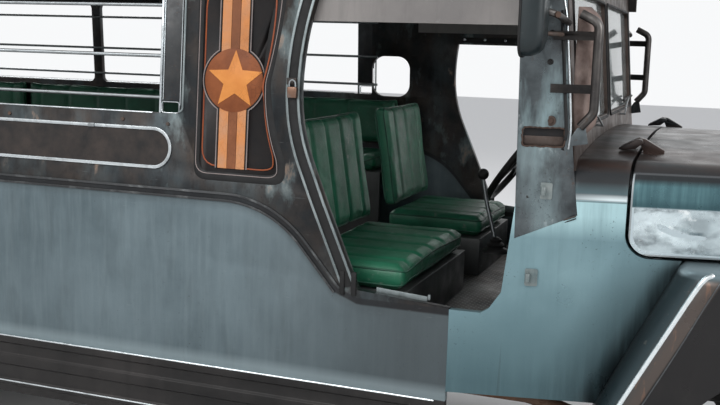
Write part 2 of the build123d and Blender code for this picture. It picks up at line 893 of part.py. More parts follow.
# Roof: one arched sheet with rain gutters, run forward as a peak over the windscreen
gutter = 20.0
gutter_inner_y = wall_y(wall_top_z) - wall + 2
with BuildPart() as roof:
    with BuildSketch(Plane.YZ.offset(roof_rear_x)):
        with Locations((0, roof_centre_z)):
            Circle(roof_radius)
            Circle(roof_radius - roof_sheet, mode=Mode.SUBTRACT)
        with Locations((0, roof_edge_z + 500)):
            Rectangle(2 * roof_edge_half, 1000, mode=Mode.INTERSECT)
        for side in (-1, 1):
            with Locations((side * (gutter_inner_y + roof_edge_half + 8) / 2, wall_top_z + seat_gap + gutter / 2)):
                Rectangle(roof_edge_half + 8 - gutter_inner_y, gutter)
    extrude(amount=roof_front_x - roof_rear_x)
    with BuildSketch(Plane.XY.offset(wall_top_z)):
        with Locations((roof_front_x, -body_half - 20), (roof_front_x, body_half + 20)):
            Circle(160)
    extrude(amount=400, mode=Mode.SUBTRACT)
roof.part.label = "roof"
export_step(roof.part, "parts/roof.step")

# Windscreen pillars
right_pillar = pillar_form(0)
recess_rear_x = 1412.0
recess_front_x = 1530.0
recess_low_z = 1355.0
recess_high_z = 1411.0
recess_depth = 12.0
with BuildPart() as a_pillars:
    add(right_pillar)
    mirror(about=Plane.XZ)
    with BuildSketch(taper_plane(-1)):
        rear, front = along_taper((recess_rear_x, 0))[0], along_taper((recess_front_x, 0))[0]
        with Locations(((rear + front) / 2, (recess_low_z + recess_high_z) / 2)):
            RectangleRounded(front - rear, recess_high_z - recess_low_z, 6)
    extrude(amount=-recess_depth, mode=Mode.SUBTRACT)
a_pillars.part.label = "a_pillars"
export_step(a_pillars.part, "parts/a_pillars.step")

# Cowl: side panels, scuttle top and firewall in one pressing
cowl_outer = hull_form(seam_x + seat_gap, 1900.0, cowl_bottom_z, 0)
cowl_void_rear = hull_form(seam_x - 1, firewall_x, cowl_bottom_z - 20, wall)
cowl_void_front = hull_form(firewall_x + firewall, 1901.0, cowl_bottom_z - 20, wall)
pillar_pocket = pillar_form(seat_gap)
corner_x = hood_rear_x + hood_corner
corner_z = hood_bottom_z + hood_corner
corner_reach = corner_x - cowl_front_x
with BuildPart() as cowl:
    add(cowl_outer)
    add(cowl_void_rear, mode=Mode.SUBTRACT)
    add(cowl_void_front, mode=Mode.SUBTRACT)
    with BuildSketch(Plane.XZ.offset(-1000)):
        with BuildLine():
            Polyline(
                (seam_x - 5, door_sill_rear[1]),
                (seam_x - 5, 1500),
                (cowl_top_rear_x, 1500),
                (cowl_top_rear_x, 1195),
                (door_front_mid[0], 1195),
                door_front_low,
                (1345, 880),
                door_sill_front,
                (seam_x - 5, 870),
                close=True,
            )
        make_face()
        with BuildLine():
            Polyline(
                (cowl_front_x, 1500),
                (cowl_front_x, hood_bottom_z + hood_corner),
            )
            ThreePointArc(
                (cowl_front_x, hood_bottom_z + hood_corner),
                (corner_x - corner_reach * sqrt(0.5), corner_z - corner_reach * sqrt(0.5)),
                (corner_x, corner_z - corner_reach),
            )
            Polyline(
                (corner_x, corner_z - corner_reach),
                (fender_shoulder_x, corner_z - corner_reach),
                (fender_shoulder_x - seat_gap, fender_top_z),
                (fender_foot_x - seat_gap, fender_bottom_z),
                (2000, fender_bottom_z),
                (2000, 1500),
                (cowl_front_x, 1500),
            )
        make_face()
    extrude(amount=2000, mode=Mode.SUBTRACT)
    add(pillar_pocket, mode=Mode.SUBTRACT)
    add(pillar_pocket.mirror(Plane.XZ), mode=Mode.SUBTRACT)
    with BuildSketch(Plane.XY.offset(cowl_bottom_z - 5)):
        with Locations((firewall_x + firewall / 2, 0)):
            Rectangle(firewall + 20, 2 * (body_half - 160))
    extrude(amount=floor_z + 1 - cowl_bottom_z + 5, mode=Mode.SUBTRACT)
cowl.part.label = "cowl"
export_step(cowl.part, "parts/cowl.step")

# Windscreen frame: raked slab with two panes, its head filling up to the roof
rake = radians(screen_lean_deg)
screen_plane = Plane(
    origin=(screen_foot_x, 0, screen_foot_z), x_dir=(0, 1, 0), z_dir=(cos(rake), 0, sin(rake))
)
screen_seat = hull_form(screen_foot_x - 55, screen_foot_x + 85, 1000.0, -seat_gap)
pane_inner_y = 35.0
pane_outer_y = body_half - 155.0
pane_half = (pane_outer_y - pane_inner_y) / 2
pane_y = (pane_outer_y + pane_inner_y) / 2
pane_height = 380.0
pane_mid = 250.0
with BuildPart() as windscreen_frame:
    with BuildSketch(screen_plane):
        with BuildLine():
            side_half = wall_y(wall_top_z) - wall - seat_gap
            head = (wall_top_z - screen_foot_z) / cos(rake)
            crown = (roof_centre_z + roof_radius - roof_sheet - seat_gap - 6 - screen_foot_z) / cos(rake)
            step = (window_head_z - seat_gap - screen_foot_z) / cos(rake)
            Polyline(
                (-side_half, head),
                (-side_half, step),
                (-side_half, -60),
                (side_half, -60),
                (side_half, step),
                (side_half, head),
            )
            ThreePointArc((side_half, head), (0, crown), (-side_half, head))
        make_face()
        with Locations((-pane_y, pane_mid), (pane_y, pane_mid)):
            RectangleRounded(2 * pane_half, pane_height, 25, mode=Mode.SUBTRACT)
    extrude(amount=-screen_thickness)
    add(screen_seat, mode=Mode.SUBTRACT)
    add(pillar_pocket, mode=Mode.SUBTRACT)
    add(pillar_pocket.mirror(Plane.XZ), mode=Mode.SUBTRACT)
windscreen_frame.part.label = "windscreen_frame"
export_step(windscreen_frame.part, "parts/windscreen_frame.step")

with BuildPart() as windscreen_glass:
    with BuildSketch(screen_plane.offset(-screen_thickness / 2)):
        with Locations((-pane_y, pane_mid), (pane_y, pane_mid)):
            RectangleRounded(2 * (pane_half - seat_gap), pane_height - 2 * seat_gap, 25 - seat_gap)
    extrude(amount=screen_glass)
windscreen_glass.part.label = "windscreen_glass"
export_step(windscreen_glass.part, "parts/windscreen_glass.step")

# Dashboard under the windscreen
dash_rear_x = 1400.0
dash_top_z = 1285.0
dash_bottom_z = 1060.0
with BuildPart() as dashboard:
    dash_half = cowl_half(cowl_top_rear_x) - wall - 25
    with BuildSketch(Plane.XZ):
        with BuildLine():
            Polyline(
                (cowl_top_rear_x - seat_gap, dash_top_z),
                (dash_rear_x + 10, dash_top_z - 23),
                (dash_rear_x, dash_top_z - 45),
                (dash_rear_x + 30, dash_bottom_z),
                (dash_rear_x + 50, dash_bottom_z),
                (dash_rear_x + 50, dash_top_z - 50),
                (cowl_top_rear_x - seat_gap, dash_top_z - 35),
                close=True,
            )
        make_face()
    extrude(amount=dash_half, both=True)
dashboard.part.label = "dashboard"
export_step(dashboard.part, "parts/dashboard.step")

# Raised bead along the rear and lower edges of the hood's flanks
bead_rise = 5.0
bead_width = 12.0
bead_top_z = 1290.0
with BuildPart() as hood_bead:
    add(hull_form(hood_rear_x, hood_front_x, hood_bottom_z, -bead_rise))
    with BuildSketch(Plane.XZ.offset(-1000)):
        with Locations(((hood_rear_x + hood_front_x) / 2, (hood_bottom_z + bead_top_z) / 2)):
            Rectangle(hood_front_x - hood_rear_x, bead_top_z - hood_bottom_z)
        with BuildLine():
            Polyline(
                (hood_rear_x + hood_corner, hood_bottom_z + bead_width),
                (hood_front_x, hood_bottom_z + bead_width),
                (hood_front_x, bead_top_z),
                (hood_rear_x + bead_width, bead_top_z),
                (hood_rear_x + bead_width, hood_bottom_z + hood_corner),
            )
            RadiusArc(
                (hood_rear_x + bead_width, hood_bottom_z + hood_corner),
                (hood_rear_x + hood_corner, hood_bottom_z + bead_width),
                -(hood_corner - bead_width),
            )
        make_face(mode=Mode.SUBTRACT)
    extrude(amount=2000, mode=Mode.INTERSECT)

# Hood: one folded lid over engine, hinged at its rear top edge
knuckle_radius = 9.0
hinge_pin = 4.0
leaf_rise = 12.0
with BuildPart() as hood:
    add(hull_form(hood_rear_x, hood_front_x, hood_bottom_z, 0))
    add(hood_bead.part)
    add(hull_form(hood_rear_x - 1, hood_front_x + 1, hood_bottom_z - 20, hood_sheet), mode=Mode.SUBTRACT)
    with BuildSketch(Plane.XZ.offset(-1000)):
        with Locations((hood_rear_x + hood_corner / 2, hood_bottom_z + hood_corner / 2)):
            Rectangle(hood_corner, hood_corner)
        with Locations((hood_rear_x + hood_corner, hood_bottom_z + hood_corner)):
            Circle(hood_corner, mode=Mode.SUBTRACT)
    extrude(amount=2000, mode=Mode.SUBTRACT)
    for y in (-hinge_y, hinge_y):
        with BuildSketch(Plane.XZ.offset(y - 15)):
            with BuildLine():
                Polyline(
                    (hinge_x, hinge_z - knuckle_radius + 1),
                    (hinge_x, hinge_z + knuckle_radius),
                    (hinge_x + leaf_rise, hinge_z + knuckle_radius),
                    (hinge_x + 70, hinge_z - 23),
                    (hinge_x + 70, hinge_z - 35),
                    (hinge_x + leaf_rise, hinge_z - 35),
                    close=True,
                )
            make_face()
            with Locations((hinge_x, hinge_z)):
                Circle(knuckle_radius)
                Circle(hinge_pin + pin_gap, mode=Mode.SUBTRACT)
        extrude(amount=30)
hood.part.label = "hood"
export_step(hood.part, "parts/hood.step")

# Hood hinges: the cowl's leaves with their pins
with BuildPart() as hood_hinges:
    for y in (-hinge_y, hinge_y):
        for near in (-46, 16):
            with BuildSketch(Plane.XZ.offset(y + near)):
                with BuildLine():
                    Polyline(
                        (hinge_x, hinge_z - knuckle_radius),
                        (hinge_x, hinge_z + knuckle_radius),
                        (hinge_x - leaf_rise, hinge_z + knuckle_radius),
                        (hinge_x - 60, hinge_z - 18),
                        (hinge_x - 60, hinge_z - 24),
                        (hinge_x - leaf_rise, hinge_z - 20),
                        close=True,
                    )
                make_face()
                with Locations((hinge_x, hinge_z)):
                    Circle(knuckle_radius)
            extrude(amount=30)
        with BuildSketch(Plane.XZ.offset(y - 46)):
            with Locations((hinge_x, hinge_z)):
                Circle(hinge_pin)
        extrude(amount=92)
    add(hull_form(1600.0, 1712.0, 1000.0, -seat_gap), mode=Mode.SUBTRACT)
hood_hinges.part.label = "hood_hinges"
export_step(hood_hinges.part, "parts/hood_hinges.step")


# Front fenders: box pressing with a slanted rear face, round corners and a wheel arch
def fender_form(inset):
    """Right fender's closed form, drawn in by a sheet's thickness."""
    rear_shift = inset / cos(radians(25.7))
    top = fender_top_z - inset
    foot = fender_bottom_z - (1 if inset else 0)
    slope = (fender_shoulder_x - fender_foot_x) / (fender_top_z - fender_bottom_z)
    foot_x = fender_foot_x + rear_shift + (foot - fender_bottom_z) * slope
    shoulder_x = fender_foot_x + rear_shift + (top - fender_bottom_z) * slope
    front = fender_front_x - inset
    nose = fender_nose_radius - inset
    with BuildPart() as form:
        with BuildSketch(Plane.XZ.offset(fender_inner_y + inset)):
            with BuildLine():
                Polyline((front - nose, top), (shoulder_x, top), (foot_x, foot), (front, foot), (front, top - nose))
                RadiusArc((front, top - nose), (front - nose, top), -nose)
            make_face()
        extrude(amount=fender_outer_y - fender_inner_y - 2 * inset)
        outer = form.faces().sort_by(Axis.Y)[0]
        rear_edge = outer.edges().filter_by(GeomType.LINE).sort_by(Axis.X)[0]
        fillet(rear_edge, fender_rear_round - inset)
        outer = form.faces().sort_by(Axis.Y)[0]
        top_edges = outer.edges().filter_by(lambda e: abs(e.center().Z - top) < 1)
        fillet(top_edges, fender_top_round - inset)
    return form.part


fender_outer = fender_form(0)
fender_void = fender_form(fender_sheet)
with BuildPart() as fender_right:
    add(fender_outer)
    add(fender_void, mode=Mode.SUBTRACT)
    with BuildSketch(Plane.XZ.offset(fender_outer_y - 150)):
        with Locations((front_axle_x, axle_z)):
            Circle(front_arch_radius)
    extrude(amount=200, mode=Mode.SUBTRACT)
fender_right.part.label = "fender_right"
export_step(fender_right.part, "parts/fender_right.step")

with BuildPart() as fender_left:
    mirror(fender_right.part, about=Plane.XZ)
fender_left.part.label = "fender_left"
export_step(fender_left.part, "parts/fender_left.step")

# Grille: upright bars in a shouldered surround
grille_x = 2796.0
grille_depth = 34.0
grille_inset = 20.0
bar_pitch = 52.0
bar_gap = 34.0
upper_slots = 2 * int((cowl_half(grille_x) - grille_inset - 90) / bar_pitch) + 1
lower_slots = 2 * int((fender_inner_y - 35) / bar_pitch) + 1
with BuildPart() as grille:
    add(hull_form(grille_x, grille_x + grille_depth, fender_top_z + 6, hood_sheet + grille_inset - 10))
    with BuildSketch(Plane.YZ.offset(grille_x)):
        with Locations((0, (rail_top_z + seat_gap + 1100) / 2)):
            Rectangle(2 * (fender_inner_y - 5), 1100 - rail_top_z - seat_gap)
    extrude(amount=grille_depth)
    with BuildSketch(Plane.YZ.offset(grille_x - 5)):
        with Locations((0, 870)):
            with GridLocations(bar_pitch, 1, lower_slots, 1):
                RectangleRounded(bar_gap, 400, 8)
        with Locations((0, 1185)):
            with GridLocations(bar_pitch, 1, upper_slots, 1):
                RectangleRounded(bar_gap, 170, 8)
    extrude(amount=grille_depth + 10, mode=Mode.SUBTRACT)
grille.part.label = "grille"
export_step(grille.part, "parts/grille.step")

# Round headlamps on the fenders' front faces
lamp_y = fender_outer_y - 270.0
lamp_z = 790.0
lens_half = 88.0
lens_rise = 16.0
lens_round = (lens_half**2 + lens_rise**2) / (2 * lens_rise)
with BuildPart() as headlamps:
    for side in (-1, 1):
        with BuildSketch(Plane(origin=(fender_front_x + seat_gap, side * lamp_y, lamp_z), x_dir=(1, 0, 0), z_dir=(0, -1, 0))):
            with BuildLine():
                Polyline((0, 0), (0, 95), (30, 100), (42, lens_half))
                RadiusArc((42, lens_half), (42 + lens_rise, 0), lens_round)
                Line((42 + lens_rise, 0), (0, 0))
            make_face()
        revolve(axis=Axis((0, side * lamp_y, lamp_z), (1, 0, 0)))
headlamps.part.label = "headlamps"
export_step(headlamps.part, "parts/headlamps.step")

# Front bumper across the rail ends with two tow eyes
bumper_rear_x = rail_front_x + seat_gap
bumper_front_x = bumper_rear_x + 100
bumper_z = 580.0
tow_x = 3024.0
tow_y = 370.0
tow_bore = 14.0
tow_plate = 26.0
tow_radius = 26.0
bumper_half = body_half - 10.0
bumper_height = 150.0
bumper_wall = 12.0
with BuildPart() as front_bumper:
    with BuildSketch(Plane.XY.offset(bumper_z - bumper_height / 2)):
        with Locations(((bumper_rear_x + bumper_front_x) / 2, 0)):
            RectangleRounded(bumper_front_x - bumper_rear_x, 2 * bumper_half, 45)
    extrude(amount=bumper_height)
    with BuildSketch(Plane.XY.offset(bumper_z - bumper_height / 2 + bumper_wall)):
        with Locations(((bumper_rear_x + bumper_front_x) / 2 - bumper_wall, 0)):
            Rectangle(bumper_front_x - bumper_rear_x - bumper_wall, 2 * (bumper_half - 20))
    extrude(amount=bumper_height - 2 * bumper_wall, mode=Mode.SUBTRACT)
    with BuildSketch(Plane.YZ.offset(bumper_rear_x)):
        with Locations((-rail_y, bumper_z), (rail_y, bumper_z)):
            Rectangle(rail_width, 128)
    extrude(amount=90)
    for side in (-1, 1):
        with BuildSketch(Plane.XZ.offset(side * tow_y - tow_plate / 2)):
            with Locations(((bumper_front_x + tow_x) / 2 - 5, bumper_z)):
                Rectangle(tow_x - bumper_front_x + 10, 2 * tow_radius)
            with Locations((tow_x, bumper_z)):
                Circle(tow_radius)
                Circle(tow_bore, mode=Mode.SUBTRACT)
        extrude(amount=tow_plate)
    with BuildSketch(Plane.YZ.offset(bumper_rear_x)):
        with Locations((-hole_spacing / 2, bumper_z), (hole_spacing / 2, bumper_z)):
            Circle(hole_radius)
    extrude(amount=150, mode=Mode.SUBTRACT)
front_bumper.part.label = "front_bumper"
export_step(front_bumper.part, "parts/front_bumper.step")

# Bench boxes along both sides and the front seat boxes
bench_front_x = 500.0
bench_rear_x = -2740.0
bench_inner_y = body_half - 375.0
bench_top_z = 1060.0
bench_board = 20.0
seat_edges = (
    # inner edge, outer edge, side
    (180.0, body_half - 210, 1),
    (60.0, body_half - 90, -1),
)
front_seats = [(side * (inner + outer) / 2, outer - inner) for inner, outer, side in seat_edges]
front_seat_rear_x = 640.0
front_seat_front_x = 1060.0
front_seat_top_z = 870.0
with BuildPart() as seat_boxes:
    with BuildSketch(Plane.YZ.offset(bench_rear_x)):
        with BuildLine():
            Polyline(
                (-floor_half, bench_top_z),
                (-bench_inner_y, bench_top_z),
                (-bench_inner_y, floor_top_z + seat_gap),
                (-bench_inner_y - 15, floor_top_z + seat_gap),
                (-bench_inner_y - 15, bench_top_z - bench_board),
                (-floor_half, bench_top_z - bench_board),
                close=True,
            )
        make_face()
    extrude(amount=bench_front_x - bench_rear_x)
    mirror(about=Plane.XZ)
    with BuildSketch(Plane.XY.offset(floor_top_z + seat_gap)):
        for middle, width in front_seats:
            with Locations(((front_seat_rear_x + front_seat_front_x) / 2, middle)):
                Rectangle(front_seat_front_x - front_seat_rear_x, width)
    extrude(amount=front_seat_top_z - floor_top_z - seat_gap)
seat_boxes.part.label = "seat_boxes"
export_step(seat_boxes.part, "parts/seat_boxes.step")

# Bench cushions
cushion = 75.0
with BuildPart() as bench_cushions:
    with BuildSketch(Plane.YZ.offset(bench_rear_x + 10)):
        for side in (-1, 1):
            with Locations((side * (bench_inner_y + floor_half - 6) / 2, bench_top_z + seat_gap + cushion / 2)):
                RectangleRounded(floor_half - 6 - bench_inner_y, cushion, 25)
    extrude(amount=bench_front_x - bench_rear_x - 20)
bench_cushions.part.label = "bench_cushions"
export_step(bench_cushions.part, "parts/bench_cushions.step")

# Padded rails behind the passengers, under the window sills
back_low_z = bench_top_z + cushion + 8
back_high_z = window_sill_z - 6
back_pad = 60.0
with BuildPart() as backrests:
    with BuildSketch(Plane.YZ.offset(bench_rear_x + 10)):
        with BuildLine():
            Polyline(
                (-wall_y(back_low_z) + wall + seat_gap, back_low_z),
                (-body_half + wall + seat_gap, knee_z),
                (-wall_y(back_high_z) + wall + seat_gap, back_high_z),
                (-wall_y(back_high_z) + wall + back_pad - 15, back_high_z),
                (-body_half + wall + back_pad, back_low_z + 15),
                (-body_half + wall + back_pad - 10, back_low_z),
                close=True,
            )
        make_face()
    extrude(amount=bench_front_x - bench_rear_x - 20)
    mirror(about=Plane.XZ)
backrests.part.label = "backrests"
export_step(backrests.part, "parts/backrests.step")

# Front seat cushions and backs
with BuildPart() as front_seat_cushions:
    for middle, width in front_seats:
        with BuildSketch(Plane.XZ.offset(-middle - (width - 20) / 2)):
            with BuildLine():
                Polyline(
                    (front_seat_rear_x + 5, front_seat_top_z + seat_gap),
                    (front_seat_front_x + 10, front_seat_top_z + seat_gap),
                    (front_seat_front_x + 25, front_seat_top_z + 40),
                    (front_seat_front_x + 5, front_seat_top_z + 90),
                    (front_seat_rear_x + 90, front_seat_top_z + 80),
                    (front_seat_rear_x + 60, front_seat_top_z + 100),
                    (front_seat_rear_x - 5, front_seat_top_z + 520),
                    (front_seat_rear_x - 70, front_seat_top_z + 515),
                    (front_seat_rear_x - 55, front_seat_top_z + 480),
                    (front_seat_rear_x + 5, front_seat_top_z + 60),
                    close=True,
                )
            make_face()
        extrude(amount=width - 20)
front_seat_cushions.part.label = "front_seat_cushions"
export_step(front_seat_cushions.part, "parts/front_seat_cushions.step")

# Steering column and wheel
tilt = radians(column_deg)
column_dir = Vector(-cos(tilt), 0, sin(tilt))
steer_plane = Plane(origin=steer_centre, x_dir=(0, 1, 0), z_dir=column_dir)
column_reach = (firewall_x - seat_gap - steer_centre[0]) / cos(tilt)
with BuildPart() as steering_column:
    with BuildSketch(steer_plane.offset(-30)):
        Circle(24)
    extrude(amount=-(column_reach + 60))
    with BuildSketch(steer_plane.offset(-8)):
        Circle(10)
    extrude(amount=-24)
    with BuildSketch(Plane.YZ.offset(firewall_x - seat_gap)):
        with Locations((column_y, 800)):
            Rectangle(400, 600)
    extrude(amount=200, mode=Mode.SUBTRACT)
steering_column.part.label = "steering_column"
export_step(steering_column.part, "parts/steering_column.step")

with BuildPart() as steering_wheel:
    with BuildSketch(Plane(origin=steer_plane.origin, x_dir=steer_plane.x_dir, z_dir=steer_plane.y_dir)):
        with Locations((steer_radius, 0)):
            Circle(steer_rim)
    revolve(axis=Axis(steer_centre, column_dir))
    with BuildSketch(steer_plane.offset(-7)):
        Circle(38)
        with PolarLocations(steer_radius / 2, 3, start_angle=30):
            Rectangle(steer_radius, 24)
    extrude(amount=14)
steering_wheel.part.label = "steering_wheel"
export_step(steering_wheel.part, "parts/steering_wheel.step")

# Ceiling grab rails
grab_y = 350.0
grab_z = 2050.0
grab_radius = 16.0
hanger_x = (-2500.0, -1780.0, -1060.0, -340.0, 380.0)
hanger_radius = 8.0
with BuildPart() as grab_rails:
    for side in (-1, 1):
        with BuildSketch(Plane.YZ.offset(hanger_x[0] - 80)):
            with Locations((side * grab_y, grab_z)):
                Circle(grab_radius)
        extrude(amount=hanger_x[-1] - hanger_x[0] + 160)
        hanger_foot_z = grab_z + grab_radius + seat_gap
        with BuildSketch(Plane.XY.offset(hanger_foot_z)):
            with Locations([(x, side * grab_y) for x in hanger_x]):
                Circle(hanger_radius)
        extrude(amount=roof_under(grab_y + hanger_radius) - seat_gap - hanger_foot_z)
grab_rails.part.label = "grab_rails"
export_step(grab_rails.part, "parts/grab_rails.step")

# Round fan on two straps above the driver's doorway
fan_x = 800.0
fan_y = body_half - 150.0
fan_radius = 80.0
fan_z = 1800.0
with BuildPart() as cab_fan:
    with BuildSketch(Plane.XY.offset(fan_z)):
        with Locations((fan_x, fan_y - 60)):
            Circle(fan_radius)
    extrude(amount=70)
    for shift in (-70, 70):
        with BuildSketch(Plane.XZ.offset(-(fan_y - 60))):
            with Locations((fan_x + shift, fan_z - 10)):
                Rectangle(16, 24)
        extrude(amount=-(wall_y(fan_z + 2) - wall - seat_gap - fan_y + 60))
cab_fan.part.label = "cab_fan"
export_step(cab_fan.part, "parts/cab_fan.step")

# Mirrors on arms from the pillars
mirror_x = 1450.0
mirror_y = body_half + 70.0
mirror_z = 1735.0
mirror_width = 120.0
mirror_height = 260.0
mirror_depth = 44.0
arm_z = 1705.0
arm_radius = 11.0
with BuildPart() as mirrors:
    with BuildSketch(Plane.YZ.offset(mirror_x - mirror_depth / 2)):
        with Locations((-mirror_y, mirror_z)):
            RectangleRounded(mirror_width, mirror_height, 45)
    extrude(amount=mirror_depth)
    with BuildSketch(Plane.XZ.offset(cowl_half(mirror_x) + 6)):
        with Locations((mirror_x, arm_z)):
            Circle(arm_radius)
    extrude(amount=mirror_y - 30 - cowl_half(mirror_x))
    with BuildSketch(taper_plane(-1).offset(seat_gap)):
        with Locations(along_taper((mirror_x, arm_z))):
            Rectangle(60, 36)
    extrude(amount=12)
    mirror(about=Plane.XZ)
mirrors.part.label = "mirrors"
export_step(mirrors.part, "parts/mirrors.step")

# Looped tube brackets ahead of the pillars
loop_tube = 13.0
loop_x = 1590.0
loop_top_z = 1725.0
loop_bottom_z = 1415.0
strap_z = (1665.0, 1520.0)
with BuildPart() as mirror_loops:
    loop_y = -cowl_half(loop_x) - 6
    with BuildLine():
        FilletPolyline(
            (loop_x - 38, loop_y, loop_top_z),
            (loop_x + 12, loop_y, loop_top_z - 25),
            (loop_x + 12, loop_y, loop_bottom_z + 40),
            (loop_x - 22, loop_y, loop_bottom_z),
            radius=[30, 35],
        )
    with BuildSketch(Plane(origin=(loop_x - 38, loop_y, loop_top_z), z_dir=(50, 0, -25))):
        Circle(loop_tube)
    sweep()
    with BuildSketch(taper_plane(-1).offset(seat_gap)):
        for z in strap_z:
            with Locations(along_taper((loop_x - 50, z))):
                Rectangle(120, 24)
    extrude(amount=12)
    mirror(about=Plane.XZ)
mirror_loops.part.label = "mirror_loops"
export_step(mirror_loops.part, "parts/mirror_loops.step")

# Tail lamps on the rear wall, domed lenses in round rims
tail_lamp_y = body_half - 150.0
tail_lamp_z = (880.0, 990.0)
tail_lamp_radius = 42.0
tail_rim = 18.0
tail_dome = 12.0
tail_lens = tail_lamp_radius - 8
tail_round = (tail_lens**2 + tail_dome**2) / (2 * tail_dome)
with BuildPart() as tail_lamps:
    for side in (-1, 1):
        for z in tail_lamp_z:
            face = body_rear_x - seat_gap
            with BuildSketch(Plane.XZ.offset(-side * tail_lamp_y)):
                with BuildLine():
                    Polyline((face, z), (face, z + tail_lamp_radius), (face - tail_rim, z + tail_lamp_radius - 3))
                    Line((face - tail_rim, z + tail_lamp_radius - 3), (face - tail_rim, z + tail_lens))
                    RadiusArc((face - tail_rim, z + tail_lens), (face - tail_rim - tail_dome, z), -tail_round)
                    Line((face - tail_rim - tail_dome, z), (face, z))
                make_face()
            revolve(axis=Axis((0, side * tail_lamp_y, z), (1, 0, 0)))
tail_lamps.part.label = "tail_lamps"
export_step(tail_lamps.part, "parts/tail_lamps.step")

# Steering knuckles: yoke round the axle eye, kingpin and stub
yoke_plate = 22.0
web_y = 44.0
for side, name in ((-1, "knuckle_right"), (1, "knuckle_left")):
    pin_y = side * kingpin_y
    with BuildPart() as knuckle:
        half = beam_height / 2 + free_gap
        for level in (axle_z - half - yoke_plate, axle_z + half):
            with BuildSketch(Plane.XY.offset(level)):
                with Locations((front_axle_x, pin_y)):
                    Circle(eye_radius)
                with Locations((front_axle_x, pin_y + side * (web_y + 8) / 2)):
                    Rectangle(2 * eye_radius, web_y + 8)
            extrude(amount=yoke_plate)
        with BuildSketch(Plane.XY.offset(axle_z - half)):
            with Locations((front_axle_x, pin_y + side * web_y)):
                Rectangle(2 * eye_radius, 16)
            with Locations((front_axle_x, pin_y)):
                Circle(kingpin_radius)
        extrude(amount=2 * half)
        with BuildSketch(Plane.XZ.offset(-(pin_y + side * web_y))):
            with Locations((front_axle_x, axle_z)):
                Circle(stub_radius)
        extrude(amount=-side * (wheel_y + 40 - kingpin_y - web_y))
    knuckle.part.label = name
    export_step(knuckle.part, "parts/" + name + ".step")


# Road wheels and tyres, drawn with the outer side towards +Y
bead_half = 62.0
flange_half = 67.0
flange_height = 13.0
shoulder_width = 24.0
shoulder_drop = 20.0


def wheel_form():
    """Steel wheel with hub, drum and five hand holes about the Y axis."""
    with BuildPart() as form:
        with BuildSketch(Plane.YZ):
            with BuildLine():
                Polyline(
                    (-60, stub_radius + pin_gap),
                    (-60, 150),
                    (0, 150),
                    (0, 120),
                    (22, 120),
                    (30, 178),
                    (-rim_width / 2, 178),
                    (-rim_width / 2, rim_radius + flange_height),
                    (-flange_half, rim_radius + flange_height),
                    (-bead_half, rim_radius - seat_gap),
                    (bead_half, rim_radius - seat_gap),
                    (flange_half, rim_radius + flange_height),
                    (rim_width / 2, rim_radius + flange_height),
                    (rim_width / 2, 186),
                    (42, 180),
                    (36, 110),
                    (48, 90),
                    (60, 60),
                    (60, stub_radius + pin_gap),
                    close=True,
                )
            make_face()
        revolve(axis=Axis.Y)
        with BuildSketch(Plane.XZ.offset(-15)):
            with PolarLocations(148, 5):
                Circle(17)
        extrude(amount=-60, mode=Mode.SUBTRACT)
    return form.part


def tyre_form():
    """Plain road tyre about the Y axis: flat tread, bevelled shoulders and flared sidewalls."""
    half = tyre_width / 2
    with BuildPart() as form:
        with BuildSketch(Plane.YZ):
            with BuildLine():
                Polyline(
                    (-bead_half, rim_radius),
                    (-half, wheel_radius - shoulder_drop - 10),
                    (-half + shoulder_width, wheel_radius),
                    (half - shoulder_width, wheel_radius),
                    (half, wheel_radius - shoulder_drop - 10),
                    (bead_half, rim_radius),
                    close=True,
                )
            make_face()
        revolve(axis=Axis.Y)
    return form.part


wheel_solid = wheel_form()
tyre_solid = tyre_form()
corners = (
    # name, station, side
    ("front_right", front_axle_x, -1),
    ("front_left", front_axle_x, 1),
    ("rear_right", rear_axle_x, -1),
    ("rear_left", rear_axle_x, 1),
)
for corner, station, side in corners:
    turn = 0 if side > 0 else 180
    place = Location((station, side * wheel_y, axle_z), (0, 0, turn))
    for kind, solid in (("wheel_", wheel_solid), ("tyre_", tyre_solid)):
        with BuildPart() as piece:
            add(solid.moved(place))
        piece.part.label = kind + corner
        export_step(piece.part, "parts/" + kind + corner + ".step")
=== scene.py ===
import json
from math import acos, atan, atan2, cos, exp, hypot, pi, radians, sin, sqrt, tan
import random

import bpy
from mathutils import Matrix, Vector
from mathutils.bvhtree import BVHTree

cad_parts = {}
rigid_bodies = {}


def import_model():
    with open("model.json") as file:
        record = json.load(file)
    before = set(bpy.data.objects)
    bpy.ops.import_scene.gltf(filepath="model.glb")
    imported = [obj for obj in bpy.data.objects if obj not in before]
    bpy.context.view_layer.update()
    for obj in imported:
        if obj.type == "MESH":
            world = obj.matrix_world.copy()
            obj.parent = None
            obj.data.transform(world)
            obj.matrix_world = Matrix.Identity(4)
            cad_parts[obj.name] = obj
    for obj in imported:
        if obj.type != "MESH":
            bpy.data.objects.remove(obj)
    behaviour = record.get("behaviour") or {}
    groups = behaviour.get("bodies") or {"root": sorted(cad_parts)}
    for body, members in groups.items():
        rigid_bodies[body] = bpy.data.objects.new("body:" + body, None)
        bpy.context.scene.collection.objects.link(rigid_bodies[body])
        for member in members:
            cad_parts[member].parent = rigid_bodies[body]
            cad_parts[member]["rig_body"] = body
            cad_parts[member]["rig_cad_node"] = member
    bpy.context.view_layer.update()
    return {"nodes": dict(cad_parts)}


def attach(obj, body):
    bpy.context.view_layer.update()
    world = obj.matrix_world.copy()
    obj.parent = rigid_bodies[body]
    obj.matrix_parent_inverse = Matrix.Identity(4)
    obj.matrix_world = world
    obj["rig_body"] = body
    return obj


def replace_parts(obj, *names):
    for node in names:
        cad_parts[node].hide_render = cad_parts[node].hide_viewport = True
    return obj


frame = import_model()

print("stage: frame loaded,", len(frame["nodes"]), "nodes")

